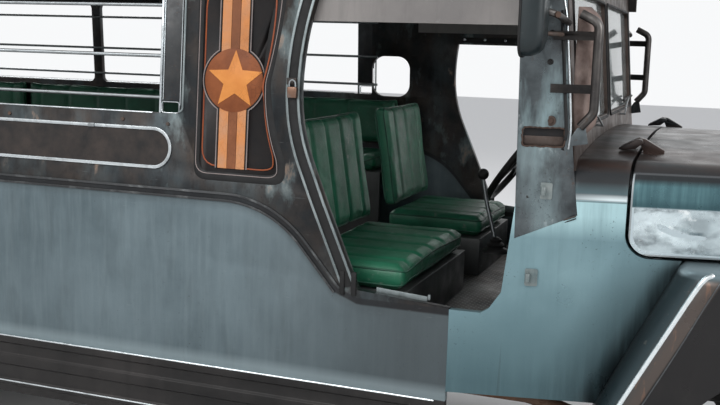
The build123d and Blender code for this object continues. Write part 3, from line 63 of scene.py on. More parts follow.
# Driving sizes, metres, +X forward, +Y left
body = {
    "half": 0.930,
    "kneeZ": 1.150,
    "lean": tan(radians(3.5)),
    "rearX": -2.800,
    "seamX": 1.234,
    "taper": tan(radians(12.0)),
    "sillZ": 1.391,
}
axles = {"front": 2.300, "rear": -1.380, "z": 0.370, "wheelY": 0.760}
corners = (
    # name, station, side
    ("front_right", axles["front"], -1),
    ("front_left", axles["front"], 1),
    ("rear_right", axles["rear"], -1),
    ("rear_left", axles["rear"], 1),
)


# Camera and light

camera = {"place": (1.95, -3.68, 1.62), "yaw": 20.0, "pitch": 8.9, "roll": -1.72, "lens": 50.0}


def aimCamera():
    yaw, pitch, roll = radians(camera["yaw"]), radians(camera["pitch"]), radians(camera["roll"])
    ahead = Vector((-sin(yaw) * cos(pitch), cos(yaw) * cos(pitch), -sin(pitch)))
    level = Vector((cos(yaw), sin(yaw), 0.0))
    upright = level.cross(ahead)
    right = level * cos(roll) - upright * sin(roll)
    up = upright * cos(roll) + level * sin(roll)
    bpy.ops.object.camera_add()
    eye = bpy.context.object
    eye.data.lens = camera["lens"]
    eye.data.sensor_width = 36.0
    eye.data.clip_end = 60.0
    turn = Matrix((right, up, -ahead)).transposed().to_4x4()
    eye.matrix_world = Matrix.Translation(camera["place"]) @ turn
    bpy.context.scene.camera = eye


light = {
    # name: place, aim, size, watts
    "key": ((-1.5, -6.5, 5.5), (0.3, 0.0, 1.0), 4.5, 330.0),
    "front": ((7.5, -3.5, 4.0), (2.0, 0.0, 1.0), 3.5, 210.0),
    "back": ((-5.5, 5.5, 5.0), (0.0, 0.0, 1.0), 4.0, 240.0),
}
ambient = 0.62
floorColour = (0.80, 0.80, 0.79, 1.0)


def lightStudio():
    for name, (place, aim, size, watts) in light.items():
        bpy.ops.object.light_add(type="AREA", location=place)
        lamp = bpy.context.object
        lamp.name = "lamp_" + name
        lamp.data.size = size
        lamp.data.energy = watts
        lamp.rotation_euler = (Vector(aim) - Vector(place)).to_track_quat("-Z", "Y").to_euler()
    world = bpy.data.worlds.new("studio")
    bpy.context.scene.world = world
    world.use_nodes = True
    tree = world.node_tree
    ground = tree.nodes["Background"]
    ground.inputs["Color"].default_value = (0.93, 0.95, 1.0, 1.0)
    ground.inputs["Strength"].default_value = ambient
    seen = tree.nodes.new("ShaderNodeBackground")
    seen.inputs["Color"].default_value = (0.94, 0.95, 0.96, 1.0)
    path = tree.nodes.new("ShaderNodeLightPath")
    either, anyOf = [tree.nodes.new("ShaderNodeMath") for _ in range(2)]
    either.operation = anyOf.operation = "MAXIMUM"
    mix = tree.nodes.new("ShaderNodeMixShader")
    for source, target in ((path.outputs["Is Camera Ray"], either.inputs[0]),
                           (path.outputs["Is Glossy Ray"], either.inputs[1]),
                           (either.outputs[0], anyOf.inputs[0]),
                           (path.outputs["Is Transmission Ray"], anyOf.inputs[1]),
                           (anyOf.outputs[0], mix.inputs["Fac"]), (ground.outputs[0], mix.inputs[1]),
                           (seen.outputs[0], mix.inputs[2]),
                           (mix.outputs[0], tree.nodes["World Output"].inputs["Surface"])):
        tree.links.new(source, target)
    bpy.ops.mesh.primitive_plane_add(size=60.0)
    floor = bpy.context.object
    floor.name = "studio_floor"
    paint = bpy.data.materials.new("studio_floor")
    paint.use_nodes = True
    shader = paint.node_tree.nodes["Principled BSDF"]
    shader.inputs["Base Color"].default_value = floorColour
    shader.inputs["Roughness"].default_value = 0.9
    floor.data.materials.append(paint)
    bpy.context.scene.view_settings.view_transform = "Standard"


aimCamera()
lightStudio()
print("stage: camera and light set")


# Finishes: small helpers that put and join shader nodes

class Paint:
    # one material: its shader, its colour so far, and the nodes put into it

    def __init__(self, name, metal, rough, coat=0.0):
        self.finish = bpy.data.materials.new(name)
        self.finish.use_nodes = True
        self.tree = self.finish.node_tree
        self.shader = self.tree.nodes["Principled BSDF"]
        self.colour = None
        self.set({"Metallic": metal, "Roughness": rough, "Coat Weight": coat})

    def set(self, values, node=None):
        # sockets are joined, anything else becomes the socket's own value
        node = node or self.shader
        for key, value in values.items():
            if isinstance(value, bpy.types.NodeSocket):
                self.tree.links.new(value, node.inputs[key])
            else:
                node.inputs[key].default_value = value
        return node

    def put(self, kind, inputs, **settings):
        node = self.tree.nodes.new("ShaderNode" + kind)
        for key, value in settings.items():
            setattr(node, key, value)
        return self.set(inputs, node)

    def math(self, kind, a, b=0.5):
        return self.put("Math", {0: a, 1: b}, operation=kind).outputs[0]

    def times(self, a, b):
        return self.math("MULTIPLY", a, b)

    def where(self):
        return self.put("TexCoord", {}).outputs["Object"]

    def spot(self, stretch=(1, 1, 1), turn=(0, 0, 0)):
        # object coordinates, stretched and turned
        return self.put("Mapping", {"Vector": self.where(), "Scale": stretch, "Rotation": turn}).outputs[0]

    def axis(self, letter):
        return self.put("SeparateXYZ", {"Vector": self.where()}).outputs[letter]

    def leaned(self):
        # station measured along the slope of the fender's rear face
        return self.math("ADD", self.axis("X"), self.times(self.axis("Z"), fenderSlope))

    def span(self, value, low, high, toLow=0.0, toHigh=1.0):
        return self.put("MapRange", {
            "Value": value, "From Min": low, "From Max": high, "To Min": toLow, "To Max": toHigh,
        }).outputs[0]

    def cloud(self, scale, low, high, stretch=(1, 1, 1), detail=5.0, turn=(0, 0, 0), toHigh=1.0):
        # soft patches from 0 to toHigh
        noise = self.put("TexNoise", {
            "Vector": self.spot(stretch, turn), "Scale": scale, "Detail": detail, "Roughness": 0.6})
        return self.span(noise.outputs["Fac"], low, high, 0.0, toHigh)

    def scratches(self, density, amount, turn):
        # fine faint lines, long along one way
        return self.cloud(2.4 * density, 0.68, 0.80, (0.08, 1.0, 1.0), 3.0, turn, 0.35 * amount)

    def blend(self, mask, under, over):
        # the colour so far becomes under, with over laid on where the mask is 1
        def tone(value):
            return value if isinstance(value, bpy.types.NodeSocket) else (*value, 1.0)

        mix = self.put("Mix", {}, data_type="RGBA")
        self.colour = self.set({0: mask, 6: tone(under), 7: tone(over)}, mix).outputs[2]

    def layer(self, mask, over):
        self.blend(mask, self.colour, over)

    def grain(self, scale, height, detail=5.0):
        # a bump for wear()
        return self.cloud(scale, 0.2, 0.8, detail=detail), height

    def wear(self, scale, rough, *bumps, metal=None):
        # colour, roughness and bumps into the shader
        self.set({"Base Color": self.colour,
                  "Roughness": self.span(self.cloud(scale, 0.3, 0.7), 0.0, 1.0, *rough)})
        if metal is not None:
            self.set({"Metallic": metal})
        for k, (height, distance) in enumerate(bumps):
            inputs = {"Height": height, "Strength": 0.6, "Distance": distance}
            if k:
                inputs["Normal"] = normal
            normal = self.put("Bump", inputs).outputs["Normal"]
        self.set({"Normal": normal})
        return self.finish


fenderSlope = -0.5116


# Line on the side walls that divides the satin panel from the bare steel above
crease = {"z": 1.130, "rear": -2.80, "turnX": 0.500, "radius": 0.343, "turn": radians(49.0), "run": 0.175,
          "band": 0.022}


def creasePoints(rise=0.0, steps=7):
    reach = crease["radius"] + rise
    centreZ = crease["z"] - crease["radius"]
    points = [(crease["rear"], crease["z"] + rise)]
    for k in range(steps + 1):
        turn = crease["turn"] * k / steps
        points.append((crease["turnX"] + reach * sin(turn), centreZ + reach * cos(turn)))
    x, z = points[-1]
    points.append((x + crease["run"] * cos(crease["turn"]), z - crease["run"] * sin(crease["turn"])))
    return points


def galvanisedSteel():
    # bluish satin sheet below the crease, bare dark brown steel above it; both tones are partly painted
    # reflection, of the sky below the crease and of dark surroundings above it
    p = Paint("galvanised_steel", 0.75, 0.42)
    station = p.axis("X")
    height = p.axis("Z")
    lowX, highX = crease["rear"], 1.60
    curve = p.put("FloatCurve", {"Value": p.span(station, lowX, highX)})
    line = curve.mapping.curves[0]
    spots = creasePoints() + [(0.95, 0.85), (highX, 0.85)]
    line.points[0].location = (0.0, spots[0][1] / 2)
    line.points[1].location = (1.0, spots[-1][1] / 2)
    for x, z in spots[1:-1]:
        line.points.new((x - lowX) / (highX - lowX), z / 2)
    for point in line.points:
        point.handle_type = "VECTOR"
    curve.mapping.update()
    above = p.math("SUBTRACT", height, p.times(curve.outputs[0], 2.0))
    upper = p.span(above, -0.002, 0.004)

    p.blend(p.cloud(2.2, 0.35, 0.65), (0.088, 0.120, 0.134), (0.135, 0.178, 0.196))
    streaks = p.cloud(6.0, 0.42, 0.70, stretch=(9.0, 1.0, 0.7), detail=6.0, toHigh=0.40)
    p.layer(streaks, (0.165, 0.212, 0.230))
    grime = p.cloud(5.0, 0.52, 0.75, stretch=(3.0, 1.0, 0.8), toHigh=0.35)
    p.layer(grime, (0.058, 0.074, 0.080))
    p.layer(p.span(station, 0.50, 1.10, 0.0, 0.80), (0.058, 0.070, 0.075))
    spatter = p.times(p.cloud(150.0, 0.66, 0.72), p.cloud(2.6, 0.48, 0.60, toHigh=0.8))
    p.layer(spatter, (0.035, 0.036, 0.036))
    # painted shadow: the satin panel darker just under the crease
    p.layer(p.span(above, -0.030, -0.002, 0.0, 0.55), (0.060, 0.075, 0.080))
    p.layer(p.span(height, 0.640, 0.610, 0.0, 0.5), (0.30, 0.37, 0.39))
    low = p.colour

    p.blend(p.cloud(7.0, 0.38, 0.66), (0.019, 0.021, 0.023), (0.046, 0.037, 0.032))
    smear = p.cloud(5.0, 0.50, 0.68, stretch=(1.0, 1.0, 0.30), detail=7.0, toHigh=0.70)
    p.layer(smear, (0.058, 0.074, 0.080))
    mottle = p.cloud(30.0, 0.50, 0.66, stretch=(1.0, 1.0, 0.6), detail=9.0, toHigh=0.55)
    p.layer(mottle, (0.015, 0.014, 0.014))
    # painted reflections: pale patches on the dark steel, stronger towards the star panel
    pale = p.times(p.cloud(9.0, 0.56, 0.70, stretch=(1.0, 1.0, 0.5), detail=8.0),
                   p.span(station, 0.10, 0.34, 0.15, 0.75))
    p.layer(pale, (0.155, 0.195, 0.200))
    bare = p.times(p.cloud(18.0, 0.62, 0.72, stretch=(1.0, 1.0, 0.5), detail=8.0), p.cloud(3.0, 0.45, 0.6))
    p.layer(bare, (0.21, 0.150, 0.115))
    pits = p.cloud(60.0, 0.66, 0.74, toHigh=0.7)
    p.layer(pits, (0.014, 0.011, 0.010))
    band = p.times(p.span(above, -0.001, 0.003), p.span(above, crease["band"], crease["band"] - 0.003))
    p.layer(p.times(band, 0.8), (0.022, 0.023, 0.025))

    p.blend(upper, low, p.colour)
    p.layer(p.scratches(90.0, 0.55, (0.0, 0.5, 0.0)), (0.36, 0.40, 0.41))
    fine = p.cloud(120.0, 0.2, 0.8, stretch=(1.0, 1.0, 0.2))
    return p.wear(9.0, (0.30, 0.50), p.grain(1.6, 0.004, 2.0), (fine, 0.0004),
                  metal=p.span(upper, 0.0, 1.0, 0.55, 0.80))


def bareMetal(name, dark, mid, bright, rust=0.35, rough=(0.22, 0.5), size=1.0, metal=0.9):
    # scuffed sheet with smudges, bright rubs and rust freckles
    p = Paint(name, metal, 0.35)
    p.blend(p.cloud(5.0 * size, 0.35, 0.65), dark, mid)
    rubAndDentShade = p.cloud(3.2 * size, 0.50, 0.72, stretch=(1.0, 1.0, 0.4), toHigh=0.9)
    p.layer(rubAndDentShade, bright)
    freckle = p.times(p.cloud(70.0 * size, 0.60, 0.70), p.cloud(4.0 * size, 0.48, 0.62, toHigh=rust))
    p.layer(freckle, (0.085, 0.040, 0.020))
    p.layer(p.scratches(110.0 * size, 0.5, (0.3, 0.9, 0.2)), (0.70, 0.74, 0.75))
    return p.wear(14.0 * size, rough, p.grain(3.0 * size, 0.003, 2.0), (freckle, 0.0006))


def scuffedPillar():
    # pale teal rubs over grey steel, painted glints, grimy smudges, a pitted scrape and rust freckles
    p = Paint("pillar_metal", 0.75, 0.35)
    height = p.axis("Z")
    p.blend(p.cloud(6.0, 0.36, 0.64, detail=6.0), (0.040, 0.046, 0.050), (0.120, 0.140, 0.148))
    pale = p.cloud(5.0, 0.50, 0.64, stretch=(1.4, 1.4, 0.35), detail=8.0)
    p.layer(p.times(pale, p.span(height, 1.30, 1.45, 0.55, 1.0)), (0.24, 0.32, 0.335))
    # painted glints: bright patches standing for highlights on the steel
    paintedGlint = p.cloud(9.0, 0.60, 0.72, stretch=(1.0, 1.0, 0.6), detail=5.0, toHigh=0.9)
    p.layer(paintedGlint, (0.56, 0.62, 0.63))
    smudge = p.cloud(7.0, 0.52, 0.66, stretch=(1.0, 1.0, 0.5), detail=9.0, toHigh=0.9)
    p.layer(smudge, (0.032, 0.030, 0.031))
    speck = p.times(p.cloud(130.0, 0.60, 0.66), p.cloud(7.0, 0.52, 0.62))
    p.layer(speck, (0.026, 0.022, 0.020))
    rust = p.times(p.cloud(60.0, 0.60, 0.70), p.cloud(5.0, 0.55, 0.64, toHigh=0.8))
    p.layer(rust, (0.105, 0.050, 0.028))
    return p.wear(14.0, (0.22, 0.5), p.grain(5.0, 0.006, 3.0), (speck, 0.0006))


def dentedFlank():
    # bright bare sheet, with painted shade and painted glints round the dents standing for how they catch the
    # light
    p = Paint("hood_flank", 0.85, 0.25)
    station = p.axis("X")
    p.blend(p.cloud(4.0, 0.35, 0.65), (0.50, 0.59, 0.62), (0.70, 0.80, 0.83))
    # painted shade round the dents: grey blotches, strongest towards the rear where the dents lie
    near = p.span(station, 2.15, 1.78, 0.25, 1.0)
    rubAndDentShade = p.cloud(11.0, 0.46, 0.66, stretch=(1.0, 1.0, 1.3), detail=3.0, toHigh=0.9)
    p.layer(p.times(rubAndDentShade, near), (0.26, 0.31, 0.33))
    deepDentShade = p.cloud(17.0, 0.56, 0.70, stretch=(0.7, 1.0, 1.2), detail=4.0, toHigh=0.85)
    p.layer(p.times(deepDentShade, near), (0.105, 0.125, 0.135))
    # painted glints on the dents
    paintedGlint = p.cloud(17.0, 0.60, 0.68, detail=3.0, toHigh=0.9)
    p.layer(paintedGlint, (0.92, 0.97, 0.98))
    fleck = p.cloud(150.0, 0.68, 0.74, toHigh=0.6)
    p.layer(fleck, (0.10, 0.09, 0.085))
    return p.wear(16.0, (0.14, 0.34), p.grain(9.0, 0.006, 3.0))


def agedPaint(name, colours, rough=(0.3, 0.55), metal=0.25, chips=0.5, under=(0.30, 0.31, 0.31), size=1.0,
              coat=0.0):
    # paint with faded patches, runs, chips to the metal and fine orange peel
    p = Paint(name, metal, 0.45, coat)
    p.blend(p.cloud(2.6 * size, 0.35, 0.65), colours[0], colours[1])
    runs = p.cloud(6.0 * size, 0.50, 0.75, stretch=(4.0, 4.0, 0.6), toHigh=0.4)
    p.layer(runs, tuple(0.55 * c for c in colours[0]))
    chip = p.times(p.cloud(45.0 * size, 0.66, 0.70), p.cloud(3.0 * size, 0.50, 0.60, toHigh=chips))
    p.layer(chip, under)
    p.layer(p.scratches(100.0 * size, 0.4, (0.1, 0.4, 0.7)), under)
    return p.wear(11.0 * size, rough, p.grain(2.0 * size, 0.003, 2.0), p.grain(220.0, 0.0002))


def cowlPaint():
    # teal paint with a painted highlight under the shoulder and along its crest and painted shadow along the
    # fender seam, dark on top, with black runs and a darker foot
    p = Paint("cowl_teal", 0.45, 0.38)
    height = p.axis("Z")
    station = p.axis("X")
    p.blend(p.cloud(2.4, 0.3, 0.7), (0.130, 0.222, 0.250), (0.190, 0.300, 0.328))
    p.layer(p.span(height, 1.00, 0.66, 0.0, 0.85), (0.042, 0.086, 0.100))
    # painted shadow along the fender seam: darker low down towards the seam, near black at the seam itself
    forward = p.leaned()
    low = p.span(height, 1.13, 1.02, 0.25, 1.0)
    p.layer(p.times(p.span(forward, 1.13, 1.31, 0.0, 0.80), low), (0.022, 0.046, 0.054))
    p.layer(p.span(forward, 1.27, 1.335, 0.0, 0.9), (0.008, 0.010, 0.011))
    # painted highlight: paler band under the shoulder
    p.layer(p.span(height, 1.095, 1.165, 0.0, 0.92), (0.42, 0.62, 0.65))
    edge = p.times(p.span(height, 1.204, 1.2065), p.span(height, 1.2105, 1.208, 0.0, 0.75))
    p.layer(edge, (0.060, 0.085, 0.092))
    # painted highlight along the crest, brightest towards the hood
    crest = p.times(p.span(height, 1.209, 1.213), p.span(height, 1.232, 1.216))
    p.layer(p.span(height, 1.209, 1.211), (0.070, 0.085, 0.092))
    p.layer(p.times(crest, p.span(station, 1.50, 1.66, 0.15, 1.0)), (0.66, 0.75, 0.77))
    p.layer(p.span(height, 1.226, 1.232), (0.075, 0.118, 0.130))
    p.layer(p.span(height, 1.232, 1.262, 0.0, 0.97), (0.018, 0.019, 0.021))
    p.layer(p.times(p.cloud(8.0, 0.40, 0.64, stretch=(0.25, 1.0, 1.6)), p.span(height, 1.285, 1.305)),
            (0.040, 0.023, 0.018))
    streaks = p.times(p.cloud(5.0, 0.45, 0.72, stretch=(8.0, 8.0, 0.6), toHigh=0.35),
                      p.span(height, 1.215, 1.200))
    p.layer(streaks, (0.10, 0.175, 0.195))
    runs = p.times(p.cloud(26.0, 0.655, 0.685, stretch=(1.6, 1.6, 0.05), detail=1.0),
                   p.span(station, 1.42, 1.30, 0.0, 0.85))
    p.layer(p.times(runs, p.span(height, 0.92, 0.80)), (0.020, 0.026, 0.028))
    chip = p.times(p.cloud(120.0, 0.64, 0.70), p.cloud(3.0, 0.50, 0.60, toHigh=0.7))
    p.layer(chip, (0.030, 0.038, 0.040))
    p.layer(p.span(height, 0.618, 0.604, 0.0, 0.6), (0.30, 0.38, 0.40))
    p.layer(p.scratches(110.0, 0.35, (0.2, 0.6, 0.9)), (0.42, 0.52, 0.54))
    return p.wear(8.0, (0.26, 0.46), p.grain(1.8, 0.004, 2.0), p.grain(200.0, 0.0002))


def hoodPaint():
    # dark top, teal band round the shoulder, bright bead along the rear and lower edges
    p = Paint("hood_teal", 0.5, 0.30)
    height = p.axis("Z")
    station = p.axis("X")
    p.blend(p.cloud(3.0, 0.3, 0.7), (0.038, 0.092, 0.108), (0.062, 0.138, 0.156))
    p.layer(p.cloud(9.0, 0.45, 0.70, stretch=(7.0, 1.0, 0.4), toHigh=0.5), (0.115, 0.235, 0.255))
    p.layer(p.span(height, 1.222, 1.206, 0.0, 0.6), (0.022, 0.062, 0.075))
    p.layer(p.span(height, 1.258, 1.276, 0.0, 0.96), (0.017, 0.018, 0.020))
    top = p.times(p.cloud(6.0, 0.36, 0.62, stretch=(0.25, 1.0, 1.6)), p.span(height, 1.285, 1.305))
    p.layer(top, (0.040, 0.023, 0.018))
    rim = p.times(p.span(height, 1.286, 1.288), p.span(height, 1.293, 1.291))
    p.layer(rim, (0.075, 0.080, 0.085))
    p.layer(p.span(height, 1.200, 1.196), (0.48, 0.56, 0.59))
    edge = p.math("MAXIMUM", p.span(station, 1.7212, 1.7204), p.span(height, 1.0672, 1.0664))
    edge = p.times(edge, p.span(height, 1.291, 1.288))
    p.layer(edge, (0.30, 0.33, 0.34))
    p.layer(p.scratches(120.0, 0.4, (0.1, 0.5, 0.4)), (0.55, 0.62, 0.64))
    return p.wear(9.0, (0.20, 0.40), p.grain(2.0, 0.003, 2.0))


def fenderPaint():
    # dusty teal slope, near black towards the cowl seam as painted shade, worn brown roll, near black outer
    # side and pale top
    p = Paint("fender_teal", 0.45, 0.36)
    across = p.math("ABSOLUTE", p.axis("Y"))
    height = p.axis("Z")
    forward = p.leaned()
    # the slope starts near black, painted shade towards the cowl seam, and turns teal towards the roll
    p.blend(p.cloud(4.0, 0.3, 0.7), (0.006, 0.008, 0.009), (0.011, 0.014, 0.016))
    p.layer(p.times(p.span(across, 0.80, 0.93), p.span(forward, 1.32, 1.38)), (0.022, 0.044, 0.052))
    p.layer(p.span(height, 1.030, 1.046, 0.0, 0.85), (0.19, 0.25, 0.27))
    side = p.times(p.span(across, 0.925, 0.947), p.span(height, 1.042, 1.030))
    roll = p.times(side, p.span(forward, 1.372, 1.392))
    p.layer(roll, (0.080, 0.064, 0.056))
    thread = p.times(roll, p.cloud(40.0, 0.58, 0.64, stretch=(1.0, 1.0, 0.2), toHigh=0.7))
    p.layer(thread, (0.17, 0.10, 0.07))
    p.layer(p.times(side, p.span(forward, 1.440, 1.446)), (0.014, 0.013, 0.0135))
    dust = p.cloud(3.0, 0.45, 0.75, toHigh=0.35)
    p.layer(p.times(dust, p.span(height, 1.0, 0.6)), (0.060, 0.053, 0.047))
    chip = p.times(p.cloud(50.0, 0.66, 0.70), p.cloud(3.0, 0.50, 0.60, toHigh=0.6))
    p.layer(chip, (0.20, 0.18, 0.16))
    p.layer(p.scratches(100.0, 0.35, (0.4, 0.2, 0.8)), (0.30, 0.34, 0.35))
    return p.wear(8.0, (0.26, 0.48), p.grain(2.4, 0.003, 2.0))


def bandedPaint(name, base, over, rough=0.45, crack=0.5):
    # sign painter's enamel, thin in places, with a net of fine cracks
    p = Paint(name, 0.0, rough)
    p.set({"Specular IOR Level": 0.22})
    p.blend(p.cloud(14.0, 0.35, 0.65), base, over)
    net = p.put("TexVoronoi", {"Vector": p.spot((1.0, 1.0, 0.7)), "Scale": 65.0},
                feature="DISTANCE_TO_EDGE").outputs["Distance"]
    line = p.span(net, 0.030, 0.008, 0.0, crack)
    patchy = p.times(line, p.cloud(9.0, 0.42, 0.60))
    p.layer(patchy, tuple(0.35 * c for c in base))
    dirt = p.cloud(6.0, 0.50, 0.75, toHigh=0.4)
    p.layer(dirt, tuple(0.45 * c + 0.01 for c in base))
    return p.wear(20.0, (rough - 0.1, rough + 0.12), (patchy, 0.0005), p.grain(90.0, 0.0002))


def chromeTrim(name="bright_trim", tone=(0.62, 0.66, 0.68), rough=(0.12, 0.34), grime=0.5):
    p = Paint(name, 1.0, 0.2)
    p.blend(p.cloud(22.0, 0.50, 0.72, toHigh=grime), tone, (0.20, 0.21, 0.21))
    fleck = p.cloud(160.0, 0.66, 0.70, toHigh=0.7)
    p.layer(fleck, (0.10, 0.075, 0.055))
    return p.wear(30.0, rough, p.grain(140.0, 0.0002))


def rubberLike(name, tone, rough=0.6, dust=0.3, dustTone=(0.10, 0.095, 0.085)):
    p = Paint(name, 0.0, rough)
    p.set({"Specular IOR Level": 0.3})
    p.blend(p.cloud(10.0, 0.35, 0.7), tone, tuple(1.5 * c + 0.004 for c in tone))
    p.layer(p.cloud(4.0, 0.45, 0.75, toHigh=dust), dustTone)
    return p.wear(40.0, (rough - 0.12, rough + 0.2), p.grain(300.0, 0.0002))


def ironLike(name, tone, rust=0.6, rustTone=(0.16, 0.065, 0.028), rough=(0.5, 0.85), metal=0.4, grain=150.0):
    p = Paint(name, metal, 0.6)
    p.blend(p.cloud(8.0, 0.35, 0.65), tone, tuple(1.6 * c for c in tone))
    bloom = p.cloud(6.0, 0.46, 0.66, detail=8.0, toHigh=rust)
    p.layer(bloom, rustTone)
    p.layer(p.cloud(40.0, 0.58, 0.70, toHigh=rust), tuple(0.5 * c for c in rustTone))
    return p.wear(25.0, rough, p.grain(grain, 0.0006), (bloom, 0.0006))


def vinylHide():
    # green seat cover: pebbled grain, rubbed seams and sitting marks
    p = Paint("green_vinyl", 0.0, 0.42, 0.08)
    p.blend(p.cloud(5.0, 0.35, 0.65), (0.012, 0.100, 0.052), (0.020, 0.165, 0.088))
    p.layer(p.cloud(2.4, 0.50, 0.75, toHigh=0.5), (0.010, 0.045, 0.028))
    worn = p.times(p.cloud(30.0, 0.60, 0.68), p.cloud(3.5, 0.50, 0.62))
    p.layer(worn, (0.14, 0.20, 0.16))
    pebble = p.put("TexVoronoi", {"Vector": p.spot(), "Scale": 420.0}).outputs["Distance"]
    return p.wear(16.0, (0.34, 0.58), (pebble, 0.0006), p.grain(9.0, 0.002))


def ribbedFloor():
    # worn checker plate: crossed raised bars
    p = Paint("checker_plate", 0.7, 0.45)
    p.blend(p.cloud(5.0, 0.35, 0.65), (0.10, 0.10, 0.10), (0.20, 0.20, 0.195))
    p.layer(p.cloud(3.0, 0.48, 0.70, toHigh=0.6), (0.14, 0.10, 0.07))
    bars = []
    for turn in (0.785, -0.785):
        wave = p.put("TexWave", {"Vector": p.spot((1.0, 1.0, 1.0), (0.0, 0.0, turn)), "Scale": 16.0})
        bars.append(p.span(wave.outputs["Fac"], 0.72, 0.90))
    crossed = p.times(bars[0], bars[1])
    p.layer(crossed, (0.34, 0.34, 0.33))
    return p.wear(18.0, (0.35, 0.65), (crossed, 0.002))


def clearGlass(name, tone=(0.86, 0.92, 0.92), rough=0.02):
    p = Paint(name, 0.0, rough)
    p.set({"Specular IOR Level": 0.12, "Base Color": (*tone, 1.0), "Transmission Weight": 0.92, "IOR": 1.2,
           "Roughness": p.span(p.cloud(6.0, 0.35, 0.75), 0.0, 1.0, rough, rough + 0.10)})
    bump = p.put("Bump", {"Height": p.cloud(3.0, 0.2, 0.8), "Strength": 0.2, "Distance": 0.001})
    p.set({"Normal": bump.outputs["Normal"]})
    return p.finish


def lensGlass(name, tone):
    # moulded lens with a fine grid of prisms
    p = Paint(name, 0.0, 0.08, 0.4)
    p.set({"Transmission Weight": 0.55})
    p.blend(p.cloud(12.0, 0.35, 0.7), tone, tuple(0.7 * c for c in tone))
    prism = p.put("TexVoronoi", {"Vector": p.spot((0.3, 1.0, 1.0)), "Scale": 170.0},
                  distance="CHEBYCHEV").outputs["Distance"]
    return p.wear(20.0, (0.05, 0.2), (prism, 0.0015))


